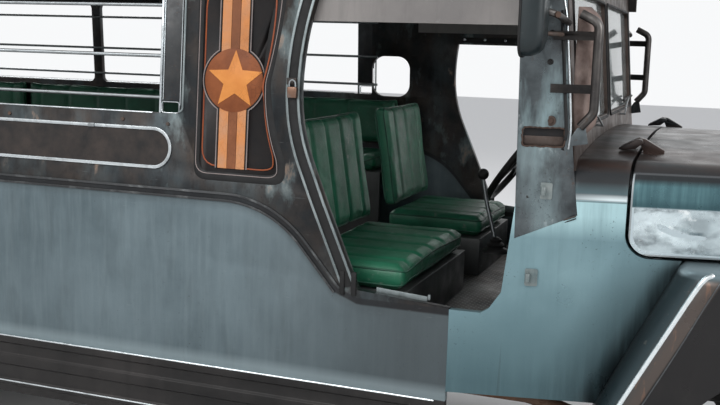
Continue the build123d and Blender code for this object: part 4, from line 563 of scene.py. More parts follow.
finishes = {
    "galvanised": galvanisedSteel(),
    "cowl": cowlPaint(),
    "hood": hoodPaint(),
    "fender": fenderPaint(),
    "pillar": scuffedPillar(),
    "flank": dentedFlank(),
    "skirt": agedPaint("ribbed_skirt", ((0.015, 0.0145, 0.0145), (0.033, 0.030, 0.029)), metal=0.6, chips=0.4,
                       under=(0.14, 0.12, 0.10)),
    "roof": agedPaint("roof_paint", ((0.20, 0.24, 0.25), (0.30, 0.34, 0.35)), metal=0.3,
                      under=(0.10, 0.07, 0.05)),
    "ceiling": agedPaint("ceiling_paint", ((0.13, 0.12, 0.115), (0.19, 0.175, 0.165)), metal=0.0, chips=0.3),
    "rear": agedPaint("rear_panel", ((0.125, 0.178, 0.200), (0.190, 0.252, 0.280)), metal=0.6, chips=0.4),
    "chassis": ironLike("chassis_black", (0.022, 0.021, 0.020), rust=0.35),
    "iron": ironLike("dark_iron", (0.045, 0.041, 0.038), rust=0.5),
    "engine": ironLike("engine_iron", (0.085, 0.083, 0.080), rust=0.3, metal=0.3),
    "rusted": ironLike("rusted_steel", (0.085, 0.048, 0.030), rust=0.9, metal=0.2),
    "seamRust": ironLike("seam_rust", (0.040, 0.026, 0.020), rust=0.7, rustTone=(0.085, 0.040, 0.024),
                         metal=0.3),
    "floor": ribbedFloor(),
    "seatBox": agedPaint("seat_box_paint", ((0.055, 0.058, 0.058), (0.090, 0.092, 0.090)), metal=0.3,
                         chips=0.6),
    "trim": chromeTrim(),
    "creaseSteel": chromeTrim("crease_steel", (0.060, 0.062, 0.064), (0.30, 0.5), 0.6),
    "jambTeal": agedPaint("jamb_bead_teal", ((0.15, 0.175, 0.178), (0.30, 0.34, 0.345)), metal=0.8, chips=0.6,
                          under=(0.05, 0.045, 0.04), size=3.0),
    "lugPaint": agedPaint("lug_paint", ((0.11, 0.15, 0.155), (0.26, 0.28, 0.27)), metal=0.4, chips=0.9,
                          under=(0.075, 0.040, 0.024), size=5.0),
    "channel": bareMetal("channel_steel", (0.030, 0.033, 0.036), (0.052, 0.052, 0.052), (0.085, 0.095, 0.100),
                         rust=0.9, rough=(0.3, 0.55), size=2.0, metal=0.7),
    "frameBrown": bareMetal("screen_frame_brown", (0.040, 0.028, 0.023), (0.085, 0.062, 0.052),
                            (0.16, 0.130, 0.115), rust=0.9, rough=(0.35, 0.6), size=1.6, metal=0.55),
    "wingRust": bareMetal("screen_wing_rust", (0.10, 0.065, 0.054), (0.27, 0.200, 0.175), (0.50, 0.41, 0.375),
                          rust=0.8, rough=(0.40, 0.65), size=2.6, metal=0.35),
    "loopSteel": bareMetal("loop_steel", (0.040, 0.038, 0.038), (0.085, 0.078, 0.074), (0.24, 0.23, 0.22),
                           rust=0.7, rough=(0.28, 0.5), size=2.4),
    "plateWhite": agedPaint("plate_white", ((0.42, 0.42, 0.40), (0.55, 0.55, 0.52)), metal=0.1, chips=0.4),
    # very bright chrome for the tube laid along the fender crest as a painted highlight
    "fenderRollHighlight": chromeTrim("fender_roll", (0.80, 0.86, 0.88), (0.16, 0.34), 0.3),
    "edgeSteel": chromeTrim("edge_steel", (0.10, 0.105, 0.11), (0.25, 0.5), 0.5),
    "dullTrim": chromeTrim("dull_trim", (0.30, 0.32, 0.33), (0.25, 0.5), 0.7),
    "chrome": chromeTrim("chrome_parts", (0.70, 0.72, 0.73), (0.06, 0.22), 0.25),
    "rubber": rubberLike("black_rubber", (0.0045, 0.0045, 0.0048), 0.55, 0.10, (0.035, 0.034, 0.032)),
    "darkTrim": rubberLike("dark_trim", (0.012, 0.0115, 0.011), 0.48, 0.2, (0.05, 0.045, 0.04)),
    "tyre": rubberLike("tyre_rubber", (0.020, 0.019, 0.018), 0.72, 0.55, (0.085, 0.075, 0.062)),
    "wheel": agedPaint("wheel_silver", ((0.30, 0.31, 0.31), (0.42, 0.43, 0.43)), metal=0.6, chips=0.7,
                       under=(0.12, 0.06, 0.03), size=3.0),
    "vinyl": vinylHide(),
    "vinylWelt": rubberLike("vinyl_welt", (0.010, 0.062, 0.036), 0.45, 0.3, (0.05, 0.07, 0.055)),
    "glass": clearGlass("window_glass"),
    "lampGlass": lensGlass("lamp_lens", (0.85, 0.87, 0.85)),
    "redLens": lensGlass("red_lens", (0.42, 0.012, 0.010)),
    "amberLens": lensGlass("amber_lens", (0.75, 0.22, 0.02)),
    "reflector": chromeTrim("lamp_reflector", (0.85, 0.86, 0.86), (0.04, 0.10), 0.1),
    "mirrorGlass": chromeTrim("mirror_glass", (0.80, 0.83, 0.84), (0.01, 0.04), 0.05),
    "mirrorShell": agedPaint("mirror_shell", ((0.0075, 0.013, 0.015), (0.0155, 0.026, 0.029)), metal=0.2,
                             chips=0.5),
    "panelBlack": bandedPaint("panel_black", (0.010, 0.010, 0.011), (0.018, 0.014, 0.013), 0.42, 0.3),
    "discBrown": bandedPaint("disc_brown", (0.160, 0.045, 0.014), (0.235, 0.072, 0.024)),
    "starOrange": bandedPaint("star_orange", (0.560, 0.200, 0.045), (0.640, 0.250, 0.062)),
    "stripeLight": bandedPaint("stripe_light", (0.560, 0.215, 0.068), (0.470, 0.235, 0.125)),
    "stripeMid": bandedPaint("stripe_brown", (0.180, 0.062, 0.024), (0.235, 0.086, 0.036)),
    "outlineGrey": bandedPaint("outline_grey", (0.210, 0.180, 0.175), (0.280, 0.230, 0.215), crack=0.2),
    "fieldBrown": bandedPaint("moulding_field", (0.018, 0.017, 0.017), (0.043, 0.034, 0.030), 0.38, 0.15),
    "outlineOrange": bandedPaint("outline_orange", (0.320, 0.085, 0.028), (0.240, 0.060, 0.030), crack=0.2),
    "brass": chromeTrim("padlock_brass", (0.205, 0.122, 0.088), (0.30, 0.5), 0.5),
    "bulb": chromeTrim("bulb_white", (0.9, 0.88, 0.8), (0.1, 0.2), 0.0),
}
print("stage: finishes made,", len(finishes))


# Hands: small helpers for making pieces

def pickOnly(piece):
    bpy.ops.object.select_all(action="DESELECT")
    piece.select_set(True)
    bpy.context.view_layer.objects.active = piece


def finishPiece(piece, name, finish, ride="chassis", smooth=35.0):
    # names, smooths and paints a piece, or a list of parts made into one
    if isinstance(piece, list):
        piece = joined(piece)
    piece.name = name
    pickOnly(piece)
    bpy.ops.object.transform_apply(location=True, rotation=True, scale=True)
    if smooth:
        bpy.ops.object.shade_smooth_by_angle(angle=radians(smooth))
    if finish:
        piece.data.materials.clear()
        piece.data.materials.append(finishes[finish])
    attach(piece, ride)
    return piece


def applyModifier(piece, kind, **settings):
    pickOnly(piece)
    modifier = piece.modifiers.new(kind.lower(), kind)
    for key, value in settings.items():
        setattr(modifier, key, value)
    bpy.ops.object.modifier_apply(modifier=modifier.name)


def edgeRound(piece, width, segments=2, angle=35.0):
    applyModifier(piece, "BEVEL", width=width, segments=segments, limit_method="ANGLE",
                  angle_limit=radians(angle), use_clamp_overlap=True, harden_normals=False)


def editAll(piece, *steps):
    # edit-mode steps on everything in a piece
    pickOnly(piece)
    bpy.ops.object.mode_set(mode="EDIT")
    bpy.ops.mesh.select_all(action="SELECT")
    for step in steps:
        step()
    bpy.ops.object.mode_set(mode="OBJECT")


def outward(piece, doubles=0.0):
    if doubles:
        editAll(piece, lambda: bpy.ops.mesh.remove_doubles(threshold=doubles))
    editAll(piece, lambda: bpy.ops.mesh.normals_make_consistent(inside=False))


def bodyOf(node):
    return frame["nodes"][node]["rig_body"]


def dressed(node, finish, bevel=0.0, smooth=32.0):
    # smooth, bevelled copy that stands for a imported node
    piece = copied(node)
    if bevel:
        edgeRound(piece, bevel, 2, 40.0)
    finishPiece(piece, node + "_finished", finish, bodyOf(node), smooth)
    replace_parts(piece, node)


def paintNode(node, finish):
    source = frame["nodes"][node]
    source.data.materials.clear()
    source.data.materials.append(finishes[finish])


def block(low, high, bevel=0.0, segments=2):
    # a box between two corners with rounded edges
    middle = [(a + b) / 2 for a, b in zip(low, high)]
    bpy.ops.mesh.primitive_cube_add(size=1.0, location=middle)
    piece = bpy.context.object
    piece.scale = [abs(b - a) for a, b in zip(low, high)]
    bpy.ops.object.transform_apply(location=True, rotation=True, scale=True)
    if bevel:
        edgeRound(piece, bevel, segments)
    return piece


def rod(start, end, radius, sides=20, bevel=0.0, endRadius=None):
    start, end = Vector(start), Vector(end)
    run = end - start
    bpy.ops.mesh.primitive_cone_add(vertices=sides, radius1=radius, depth=run.length,
                                    radius2=radius if endRadius is None else endRadius)
    piece = bpy.context.object
    piece.data.transform(run.to_track_quat("Z", "Y").to_matrix().to_4x4())
    piece.data.transform(Matrix.Translation((start + end) / 2))
    if bevel:
        edgeRound(piece, bevel, 2)
    return piece


def joined(pieces):
    pickOnly(pieces[0])
    for piece in pieces[1:]:
        piece.select_set(True)
    if len(pieces) > 1:
        bpy.ops.object.join()
    return bpy.context.object


def tubes(routes, radius, closed=False, sides=3):
    # round bars along point lists, made as one mesh
    curve = bpy.data.curves.new("route", "CURVE")
    curve.dimensions = "3D"
    curve.bevel_depth = radius
    curve.bevel_resolution = sides
    curve.use_fill_caps = True
    for route in routes:
        spline = curve.splines.new("POLY")
        spline.points.add(len(route) - 1)
        for point, place in zip(spline.points, route):
            point.co = (*place, 1.0)
        spline.use_cyclic_u = closed
    piece = bpy.data.objects.new("route", curve)
    bpy.context.scene.collection.objects.link(piece)
    pickOnly(piece)
    bpy.ops.object.convert(target="MESH")
    return bpy.context.object


def rounded(points, radius, closed=False, steps=5):
    # a route whose corners are turned into short curves
    points = [Vector(p) for p in points]
    count = len(points)
    route = []
    for i, corner in enumerate(points):
        if not closed and i in (0, count - 1):
            route.append(tuple(corner))
            continue
        before = points[i - 1] - corner
        after = points[(i + 1) % count] - corner
        first = corner + before.normalized() * min(radius, before.length / 2)
        last = corner + after.normalized() * min(radius, after.length / 2)
        for k in range(steps + 1):
            t = k / steps
            route.append(tuple(first * (1 - t) ** 2 + corner * 2 * t * (1 - t) + last * t * t))
    return route


def flowing(points, steps=6):
    # a smooth route through every point
    points = [Vector(p) for p in points]
    padded = [2 * points[0] - points[1]] + points + [2 * points[-1] - points[-2]]
    route = []
    for a, b, c, d in zip(padded, padded[1:], padded[2:], padded[3:]):
        for k in range(steps):
            t = k / steps
            route.append(tuple(0.5 * (2 * b + (c - a) * t + (2 * a - 5 * b + 4 * c - d) * t ** 2
                                      + (3 * b - a - 3 * c + d) * t ** 3)))
    route.append(tuple(points[-1]))
    return route


def laidGrid(columns, rows, placeOf):
    # a grid laid out by a rule from 0..1 across and up
    bpy.ops.mesh.primitive_grid_add(x_subdivisions=columns, y_subdivisions=rows, size=1.0)
    piece = bpy.context.object
    for vertex in piece.data.vertices:
        vertex.co = placeOf(vertex.co.x + 0.5, vertex.co.y + 0.5)
    return piece


def mappedSheet(columns, rows, placeOf, thickness, offset=-1.0, bevel=0.0):
    # a laid grid with a wall
    piece = laidGrid(columns, rows, placeOf)
    applyModifier(piece, "SOLIDIFY", thickness=thickness, offset=offset)
    if bevel:
        edgeRound(piece, bevel, 2)
    outward(piece)
    return piece


def plate(outline, thickness, inward, bevel=0.0):
    # a flat shape with the given corner places, thickened one way
    bpy.ops.mesh.primitive_circle_add(vertices=len(outline), radius=1.0, fill_type="NGON")
    piece = bpy.context.object
    for vertex, place in zip(piece.data.vertices, outline):
        vertex.co = place
    step = {"value": Vector(inward) * thickness}
    editAll(piece, lambda: bpy.ops.mesh.extrude_region_move(TRANSFORM_OT_translate=step))
    if bevel:
        edgeRound(piece, bevel, 2)
    outward(piece)
    return piece


def turned(profile, axisPlace, along, steps=64):
    # a profile of (along, radius) pairs spun about an axis through a place
    bpy.ops.mesh.primitive_circle_add(vertices=len(profile), radius=1.0, fill_type="NOTHING")
    piece = bpy.context.object
    centre, axis = Vector(axisPlace), Vector(along)
    side = axis.orthogonal().normalized()
    for vertex, (run, radius) in zip(piece.data.vertices, profile):
        vertex.co = centre + axis * run + side * radius
    editAll(piece, lambda: bpy.ops.mesh.spin(steps=steps, angle=2 * pi, center=centre, axis=axis,
                                             use_auto_merge=True))
    outward(piece, 0.00002)
    return piece


def boltHeads(places, facing, radius=0.008, height=0.005, sides=6, turn=0.3):
    # hexagon heads with chamfered tops, one modelled and the rest copied
    axis = Vector(facing).normalized()
    bpy.ops.mesh.primitive_cylinder_add(vertices=sides, radius=radius, depth=height)
    first = bpy.context.object
    edgeRound(first, radius * 0.16, 1)
    first.data.transform(Matrix.Rotation(turn, 4, "Z"))
    first.data.transform(Matrix.Translation((0.0, 0.0, height / 2)))
    first.data.transform(axis.to_track_quat("Z", "Y").to_matrix().to_4x4())
    heads = []
    for place in places[1:]:
        pickOnly(first)
        bpy.ops.object.duplicate()
        head = bpy.context.object
        head.data.transform(Matrix.Translation(place))
        heads.append(head)
    first.data.transform(Matrix.Translation(places[0]))
    return joined([first] + heads)


def wallOut(z):
    return body["half"] - max(0.0, z - body["kneeZ"]) * body["lean"]


def onWall(side, x, z, out=0.0):
    return (x, side * (wallOut(z) + out), z)


def onCowl(side, x, z, out=0.0):
    return (x, side * (body["half"] - (x - body["seamX"]) * body["taper"] + out), z)


skins = {}


def onSkin(node, start, ahead, out=0.0):
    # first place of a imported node's surface on a line, lifted by out towards the start
    if node not in skins:
        mesh = frame["nodes"][node].data
        skins[node] = BVHTree.FromPolygons([v.co for v in mesh.vertices],
                                           [p.vertices[:] for p in mesh.polygons])
    start, ahead = Vector(start), Vector(ahead).normalized()
    place = skins[node].ray_cast(start, ahead)[0]
    if place is None:
        place = skins[node].find_nearest(start + ahead * 0.44)[0]
    return place - ahead * out


def onFlank(node, side, x, z, out=0.0):
    return onSkin(node, (x, side * 1.4, z), (0, -side, 0), out)


def copied(node):
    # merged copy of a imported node's mesh
    pickOnly(frame["nodes"][node])
    bpy.ops.object.duplicate()
    piece = bpy.context.object
    del piece["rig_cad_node"]
    editAll(piece, lambda: bpy.ops.mesh.remove_doubles(threshold=0.00005),
            lambda: bpy.ops.mesh.dissolve_limited(angle_limit=radians(0.4)))
    return piece


def spareOf(piece, name, place=None):
    # a copy of a made piece, moved by place
    spare = bpy.data.objects.new(name, piece.data.copy())
    bpy.context.scene.collection.objects.link(spare)
    if place is not None:
        spare.data.transform(place)
    return spare


def fourCorners(a0, b0, a1, b1):
    return [(a0, b0, 0), (a1, b0, 0), (a1, b1, 0), (a0, b1, 0)]


def faceFinishes(piece, names, choose):
    # several finishes on one piece, chosen by each face's place
    piece.data.materials.clear()
    for name in names:
        piece.data.materials.append(finishes[name])
    for face in piece.data.polygons:
        face.material_index = choose(face.center)


def bars(name, routes, radius, finish, slotName, sides=2, closed=False):
    # tubes finished as one piece
    finishPiece(tubes(routes, radius, closed, sides), name, finish)


print("stage: helpers ready")


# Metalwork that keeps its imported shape, with its edges broken and its faces smoothed

dressing = {
    # node: finish, edge width, smoothing angle
    "side_panel_right": ("galvanised", 0.0015, 30.0),
    "side_panel_left": ("galvanised", 0.0015, 30.0),
    "rear_wall": ("rear", 0.0015, 30.0),
    "rear_step": ("chassis", 0.002, 30.0),
    "window_bars": ("dullTrim", 0.0, 50.0),
    "a_pillars": ("pillar", 0.002, 30.0),
    "windscreen_frame": ("frameBrown", 0.002, 30.0),
    "cowl": ("cowl", 0.0015, 30.0),
    "hood": ("hood", 0.0015, 30.0),
    "fender_right": ("fender", 0.0015, 32.0),
    "fender_left": ("fender", 0.0015, 32.0),
    "grille": ("chrome", 0.0012, 30.0),
    "front_bumper": ("chrome", 0.003, 30.0),
    "dashboard": ("darkTrim", 0.003, 30.0),
    "seat_boxes": ("seatBox", 0.002, 30.0),
    "frame": ("chassis", 0.003, 30.0),
    "leaf_springs": ("iron", 0.002, 30.0),
    "front_axle": ("iron", 0.003, 30.0),
    "rear_axle": ("iron", 0.002, 40.0),
    "engine": ("engine", 0.006, 30.0),
    "radiator": ("engine", 0.003, 30.0),
    "propshaft": ("iron", 0.001, 40.0),
    "exhaust": ("rusted", 0.001, 50.0),
    "fuel_tank": ("chassis", 0.012, 30.0),
    "floor": ("floor", 0.001, 30.0),
    "roof": ("roof", 0.002, 30.0),
    "grab_rails": ("trim", 0.0, 50.0),
    "steering_wheel": ("darkTrim", 0.001, 50.0),
    "steering_column": ("iron", 0.001, 50.0),
    "mirror_loops": ("loopSteel", 0.0, 50.0),
    "knuckle_right": ("iron", 0.002, 40.0),
    "knuckle_left": ("iron", 0.002, 40.0),
    "hood_hinges": ("hood", 0.001, 40.0),
}


def dressBody():
    for node, (finish, width, smooth) in dressing.items():
        dressed(node, finish, width, smooth)
    for name, *_ in corners:
        dressed("wheel_" + name, "wheel", 0.001, 35.0)
    paintNode("windscreen_glass", "glass")


dressBody()
print("stage: packed metal dressed")


# Side wall trim: the pressed mouldings part by part, fields, flange and skirt beads, screws

wallTrim = {
    "loops": ((0.297, -1.210), (-1.310, -2.690)),
    "loopLow": 1.224,
    "loopHigh": 1.336,
    "flangeZ": 0.588,
    "skirtBeadZ": 0.424,
    "screws": ((-0.321, 1.361), (0.123, 1.365), (0.290, 1.358)),
    "pitch": 0.75,
    "pitchScrews": ((-0.321, 0.123), 1.363),
    "topScrews": ((-2.70, -2.00, -1.25, -0.50, 0.20), 1.965),
    "archHalf": 0.46,
    "skirtFront": 1.20,
    "lugX": 1.40,
    "jambX": 0.60,
    "loopFloorZ": 1.20,
}


def mouldingPieces():
    piece = copied("mouldings")
    edgeRound(piece, 0.0020, 3, 40.0)
    pickOnly(piece)
    bpy.ops.mesh.separate(type="LOOSE")
    groups = {"loops": [], "crease": [], "jamb": [], "lugs": []}
    for part in list(bpy.context.selected_objects):
        xs = [v.co.x for v in part.data.vertices]
        low = min(v.co.z for v in part.data.vertices)
        if min(xs) > wallTrim["lugX"]:
            groups["lugs"].append(part)
        elif min(xs) > wallTrim["jambX"]:
            groups["jamb"].append(part)
        elif low > wallTrim["loopFloorZ"]:
            groups["loops"].append(part)
        else:
            groups["crease"].append(part)
    for name, finish in (("loops", "trim"), ("crease", "creaseSteel"), ("jamb", "jambTeal"),
                         ("lugs", "lugPaint")):
        part = finishPiece(groups[name], "mouldings_" + name, finish)
        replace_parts(part, "mouldings")


def stadium(rear, front, low, high, steps=14):
    radius = (high - low) / 2
    middle = (high + low) / 2
    ring = []
    for k in range(steps + 1):
        turn = pi / 2 - pi * k / steps
        ring.append((front - radius + radius * cos(turn), middle + radius * sin(turn)))
    for k in range(steps + 1):
        turn = -pi / 2 - pi * k / steps
        ring.append((rear + radius + radius * cos(turn), middle + radius * sin(turn)))
    return ring


def wallFields():
    fields = []
    joints = []
    for side in (-1, 1):
        for front, rear in wallTrim["loops"]:
            ring = stadium(rear, front, wallTrim["loopLow"], wallTrim["loopHigh"])
            fields.append(plate([onWall(side, x, z, 0.0012) for x, z in ring], 0.0012, (0, -side, 0)))
            for x, z in ((rear + 0.31, wallTrim["loopLow"] - 0.005),
                         (front - 0.29, wallTrim["loopHigh"] + 0.005)):
                y = onWall(side, x, z, 0.0055)[1]
                joints.append(block((x - 0.012, y - 0.0035, z - 0.006), (x + 0.012, y + 0.0012, z + 0.006),
                                    0.0012))
    finishPiece(fields, "moulding_fields", "fieldBrown")
    finishPiece(joints, "moulding_joints", "dullTrim")
    heads = []
    for side in (-1, 1):
        places = [onWall(side, x, z, 0.0) for x, z in wallTrim["screws"]]
        marks, z = wallTrim["pitchScrews"]
        places += [onWall(side, x - wallTrim["pitch"] * k, z, 0.0) for k in (1, 2, 3) for x in marks]
        marks, z = wallTrim["topScrews"]
        places += [onWall(side, x, z, 0.0) for x in marks]
        heads.append(boltHeads(places, (0, side, 0), 0.0065, 0.004, 8))
    finishPiece(heads, "wall_screws", "iron")


def skirtTrim():
    dressed("skirts", "skirt", 0.0012, 30.0)
    routes = []
    arch = wallTrim["archHalf"]
    spans = ((body["rearX"] + 0.004, axles["rear"] - arch), (axles["rear"] + arch, wallTrim["skirtFront"]))
    for side in (-1, 1):
        for rear, front in spans:
            for z in (wallTrim["flangeZ"], wallTrim["skirtBeadZ"]):
                marks = [rear + (front - rear) * k / 8 for k in range(9)]
                if z > 0.5:
                    routes.append([(x, side * (body["half"] + 0.0012), z) for x in marks])
                else:
                    places = [onFlank("skirts", side, x, z, 0.001) for x in marks[1:-1]]
                    routes.append([tuple(place) for place in places])
    bars("flange_beads", routes, 0.0032, "trim", "bright_steel")


mouldingPieces()
wallFields()
skirtTrim()
print("stage: wall trim made")


# Waisted window with its star panel, rubber seal and painted bands

starPanel = {
    "top": 1.790,
    "discAt": (0.5138, 1.5035),
    "discRadius": (0.0995, 0.0976),
    "starAt": (0.5190, 1.5035),
    "starRadius": (0.0965, 0.0930),
    "starWaist": 0.43,
    "stripes": ((0.4670, 0.4995), (0.4995, 0.5295), (0.5295, 0.5605)),
    "stripeFoot": 1.231,
    "depth": 0.0085,
}
# waisted rings in side view: five places down the front edge, front top and foot, rear foot and top
starRings = {
    "inner": (((0.6480, 1.749), (0.6240, 1.625), (0.6170, 1.503), (0.6310, 1.385), (0.6690, 1.263)),
              ((0.657, 1.784), (0.672, 1.219), (0.4055, 1.219), (0.4055, 1.784)), 0.034),
    "outer": (((0.6850, 1.749), (0.6680, 1.625), (0.6430, 1.503), (0.6600, 1.385), (0.7040, 1.263)),
              ((0.683, 1.804), (0.702, 1.190), (0.3860, 1.190), (0.3860, 1.804)), 0.046),
    "lip": (((0.6700, 1.749), (0.6540, 1.625), (0.6262, 1.503), (0.6365, 1.385), (0.6745, 1.263)),
            ((0.668, 1.791), (0.677, 1.213), (0.3945, 1.213), (0.3945, 1.791)), 0.040),
    "line": (((0.6530, 1.749), (0.6440, 1.625), (0.6190, 1.503), (0.6262, 1.385), (0.6570, 1.275)),
             ((0.648, 1.779), (0.658, 1.232), (0.4105, 1.237), (0.4105, 1.779)), 0.055),
}


def arcThrough(a, b, c, steps=8):
    # circle arc from a to c by way of b, in side view
    (ax, az), (bx, bz), (cx, cz) = a, b, c
    d = 2 * (ax * (bz - cz) + bx * (cz - az) + cx * (az - bz))
    squareA, squareB, squareC = ax ** 2 + az ** 2, bx ** 2 + bz ** 2, cx ** 2 + cz ** 2
    ux = (squareA * (bz - cz) + squareB * (cz - az) + squareC * (az - bz)) / d
    uz = (squareA * (cx - bx) + squareB * (ax - cx) + squareC * (bx - ax)) / d
    radius = hypot(ax - ux, az - uz)
    first = atan2(az - uz, ax - ux)
    mid = (atan2(bz - uz, bx - ux) - first + pi) % (2 * pi) - pi
    last = (atan2(cz - uz, cx - ux) - first + pi) % (2 * pi) - pi
    if mid * last < 0:
        last += 2 * pi if mid > 0 else -2 * pi
    return [(ux + radius * cos(first + last * k / steps), uz + radius * sin(first + last * k / steps))
            for k in range(steps + 1)]


def letIn(line, inset):
    # side-view line moved sideways by inset
    moved = []
    for (x, z), before, after in zip(line, line[:1] + line[:-1], line[1:] + line[-1:]):
        run = Vector((after[0] - before[0], after[1] - before[1])).normalized()
        moved.append((x + run.y * inset, z - run.x * inset))
    return moved


def starRing(name):
    front, (top, foot, rearFoot, rearTop), corner = starRings[name]
    edge = arcThrough(*front[:3]) + arcThrough(*front[2:])[1:]
    places = [(x, z, 0) for x, z in [top] + edge + [foot, rearFoot, rearTop]]
    return [(x, z) for x, z, _ in rounded(places, corner, closed=True, steps=5)]


def sealBand(rise, thickness, rows=8):
    # soft rounded band round the waisted opening, broad where the photograph shows it broad
    inner, outer = starRing("inner"), starRing("outer")
    count = len(inner)

    def place(u, v):
        (xIn, zIn), (xOut, zOut) = inner[int(round(u * count)) % count], outer[int(round(u * count)) % count]
        out = rise * max(0.0, sin(pi * v)) ** 0.5 - 0.001
        return onWall(-1, xOut + (xIn - xOut) * v, zOut + (zIn - zOut) * v, out)

    piece = laidGrid(count, rows, place)
    outward(piece, 0.00001)
    applyModifier(piece, "SOLIDIFY", thickness=thickness, offset=-1.0)
    outward(piece)
    return piece


def starLine():
    # painted line on the panel, climbing on the seal where that covers its way
    deep = 0.0004 - starPanel["depth"]
    places = []
    for (x, z), (xIn, zIn) in zip(starRing("line"), starRing("inner")):
        middle = Vector((0.520 - xIn, 1.50 - zIn)).normalized()
        inside = Vector((x - xIn, z - zIn)).dot(middle)
        onSeal = min(1.0, max(0.0, 1.0 - inside / 0.004))
        places.append(onWall(-1, x, z, deep + (0.0042 - deep) * onSeal))
    return tubes([places], 0.0024, closed=True, sides=2)


def starDressing():
    dressed("star_panel", "panelBlack", 0.0, 30.0)
    deep = -starPanel["depth"]
    finishPiece(sealBand(0.004, 0.0015), "star_seal", "rubber", smooth=60.0)
    lip = tubes([[onWall(-1, x, z, 0.0030) for x, z in starRing("lip")]], 0.0014, closed=True, sides=2)
    finishPiece(lip, "star_seal_lip", "outlineGrey")
    zLow, zHigh = starPanel["stripeFoot"], starPanel["top"] - 0.016
    finishPiece(starLine(), "star_outline", "outlineOrange")
    names = ("stripeLight", "stripeMid", "stripeLight")
    for k, ((x0, x1), finish) in enumerate(zip(starPanel["stripes"], names)):
        ring = [(x0 + 0.0008, zLow), (x1 - 0.0008, zLow), (x1 - 0.0008, zHigh), (x0 + 0.0008, zHigh)]
        piece = plate([onWall(-1, x, z, deep + 0.0030) for x, z in ring], 0.0028, (0, 1, 0))
        finishPiece(piece, "star_stripe_%d" % k, finish)
    cx, cz = starPanel["discAt"]
    rx, rz = starPanel["discRadius"]
    # pale outline of stripes and disc in one, with a black line inside it
    for name, grow, radius, finish in (("star_grey_lines", 0.0066, 0.0021, "outlineGrey"),
                                       ("star_black_lines", 0.0026, 0.0018, "panelBlack")):
        half = (starPanel["stripes"][2][1] - starPanel["stripes"][0][0]) / 2 + grow
        first = acos(half / (rx + grow))
        meet = (rz + grow) * sin(first)
        routes = []
        for way in (-1, 1):
            points = [(cx + way * half, zLow), (cx + way * half, cz - meet)]
            points += [(cx + way * (rx + grow) * cos(first * (1 - k / 9)),
                        cz - (rz + grow) * sin(first * (1 - k / 9))) for k in range(1, 18)]
            points += [(cx + way * half, cz + meet), (cx + way * half, zHigh)]
            routes.append([onWall(-1, x, z, deep + 0.0026) for x, z in points])
        bars(name, routes, radius, finish, "star_paint")
    turns = [2 * pi * k / 64 for k in range(64)]
    disc = plate([onWall(-1, cx + rx * cos(turn), cz + rz * sin(turn), deep + 0.0044) for turn in turns],
                 0.0040, (0, 1, 0), 0.0006)
    finishPiece(disc, "star_disc", "discBrown")
    cx, cz = starPanel["starAt"]
    rx, rz = starPanel["starRadius"]
    points = []
    for k in range(10):
        waist = starPanel["starWaist"] if k % 2 else 1.0
        turn = pi / 2 + k * pi / 5
        points.append(onWall(-1, cx + waist * rx * cos(turn), cz + waist * rz * sin(turn), deep + 0.0060))
    star = plate(points, 0.0024, (0, 1, 0), 0.0005)
    finishPiece(star, "star_five_point", "starOrange")


starDressing()
print("stage: star panel made")


# Front end of the passenger windows: edge strip, upright channel, twin bright lines, sill edges

windowEnd = {
    "stripFront": 0.2628,
    "thinLine": (0.3315, 0.0016),
    "thickLine": (0.3410, 0.0036),
    "lineLow": 1.398,
    "lineHigh": 1.802,
    "gapLow": 1.3935,
    "gapHigh": 1.4275,
    "gapRear": 0.2645,
    "gapFront": 0.3275,
    "bend": 0.014,
    "sillFront": 0.255,
    "sillSpan": (0.675, 0.022),
}


def windowTrim():
    piece = copied("window_channels")
    edgeRound(piece, 0.0012, 2, 40.0)
    finishPiece(piece, "window_channels_finished", None)
    faceFinishes(piece, ("channel", "trim"), lambda at: 1 if at.x < windowEnd["stripFront"] else 0)
    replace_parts(piece, "window_channels")
    thin, thick, sills, rims = [], [], [], []
    for side in (-1, 1):
        x = windowEnd["thinLine"][0]
        thin.append([onWall(side, x, z, 0.0005)
                     for z in (windowEnd["lineLow"] + 0.02, windowEnd["lineHigh"])])
        x = windowEnd["thickLine"][0]
        bend = windowEnd["bend"]
        run = [(x, windowEnd["lineHigh"])] + [
            (x - bend + bend * cos(turn), windowEnd["lineLow"] + bend - bend * sin(turn))
            for turn in (0.0, 0.4, 0.8, 1.2, 1.57)]
        thick.append([onWall(side, a, z, 0.0008) for a, z in run])
        low, high = windowEnd["gapLow"], windowEnd["gapHigh"]
        gap = rounded(fourCorners(windowEnd["gapRear"], low, windowEnd["gapFront"], high), 0.008,
                      closed=True, steps=3)
        rims.append([onWall(side, a, z, -0.001) for a, z, _ in gap])
        thin.append([onWall(side, 0.2665, z, -0.0055) for z in (1.434, 1.797)])
        for k in range(4):
            front = windowEnd["sillFront"] - wallTrim["pitch"] * k
            z = body["sillZ"] + 0.0005
            sills.append([onWall(side, front - back, z, 0.0005) for back in windowEnd["sillSpan"]])
    bars("window_thin_lines", thin, windowEnd["thinLine"][1], "trim", "bright_steel")
    bars("window_bright_lines", thick, windowEnd["thickLine"][1], "jambTeal", "bright_steel", sides=3)
    bars("window_gap_rims", rims, 0.0016, "trim", "bright_steel", closed=True)
    bars("window_sill_edges", sills, 0.0026, "trim", "bright_steel")


windowTrim()
print("stage: window trim made")


# Doorway: rubber between the jamb beads, feet, sill strips with their pegs, padlock

doorway = {
    "heads": {-1: 1.800, 1: 1.640},
    "band": (0.0100, 0.0375),
    "waist": (0.740, 1.490),
    "bow": 1.8,
    "feet": ((0.893, 0.908), (0.930, 0.946)),
    "feetLow": 0.905,
    "lockAt": (0.719, 1.476),
    "lockSize": (0.030, 0.034, 0.014),
    "sill": ((1.000, 0.904), (1.160, 0.893)),
    "sillY": 0.902,
    "peg": (1.167, 0.908, 0.885),
}


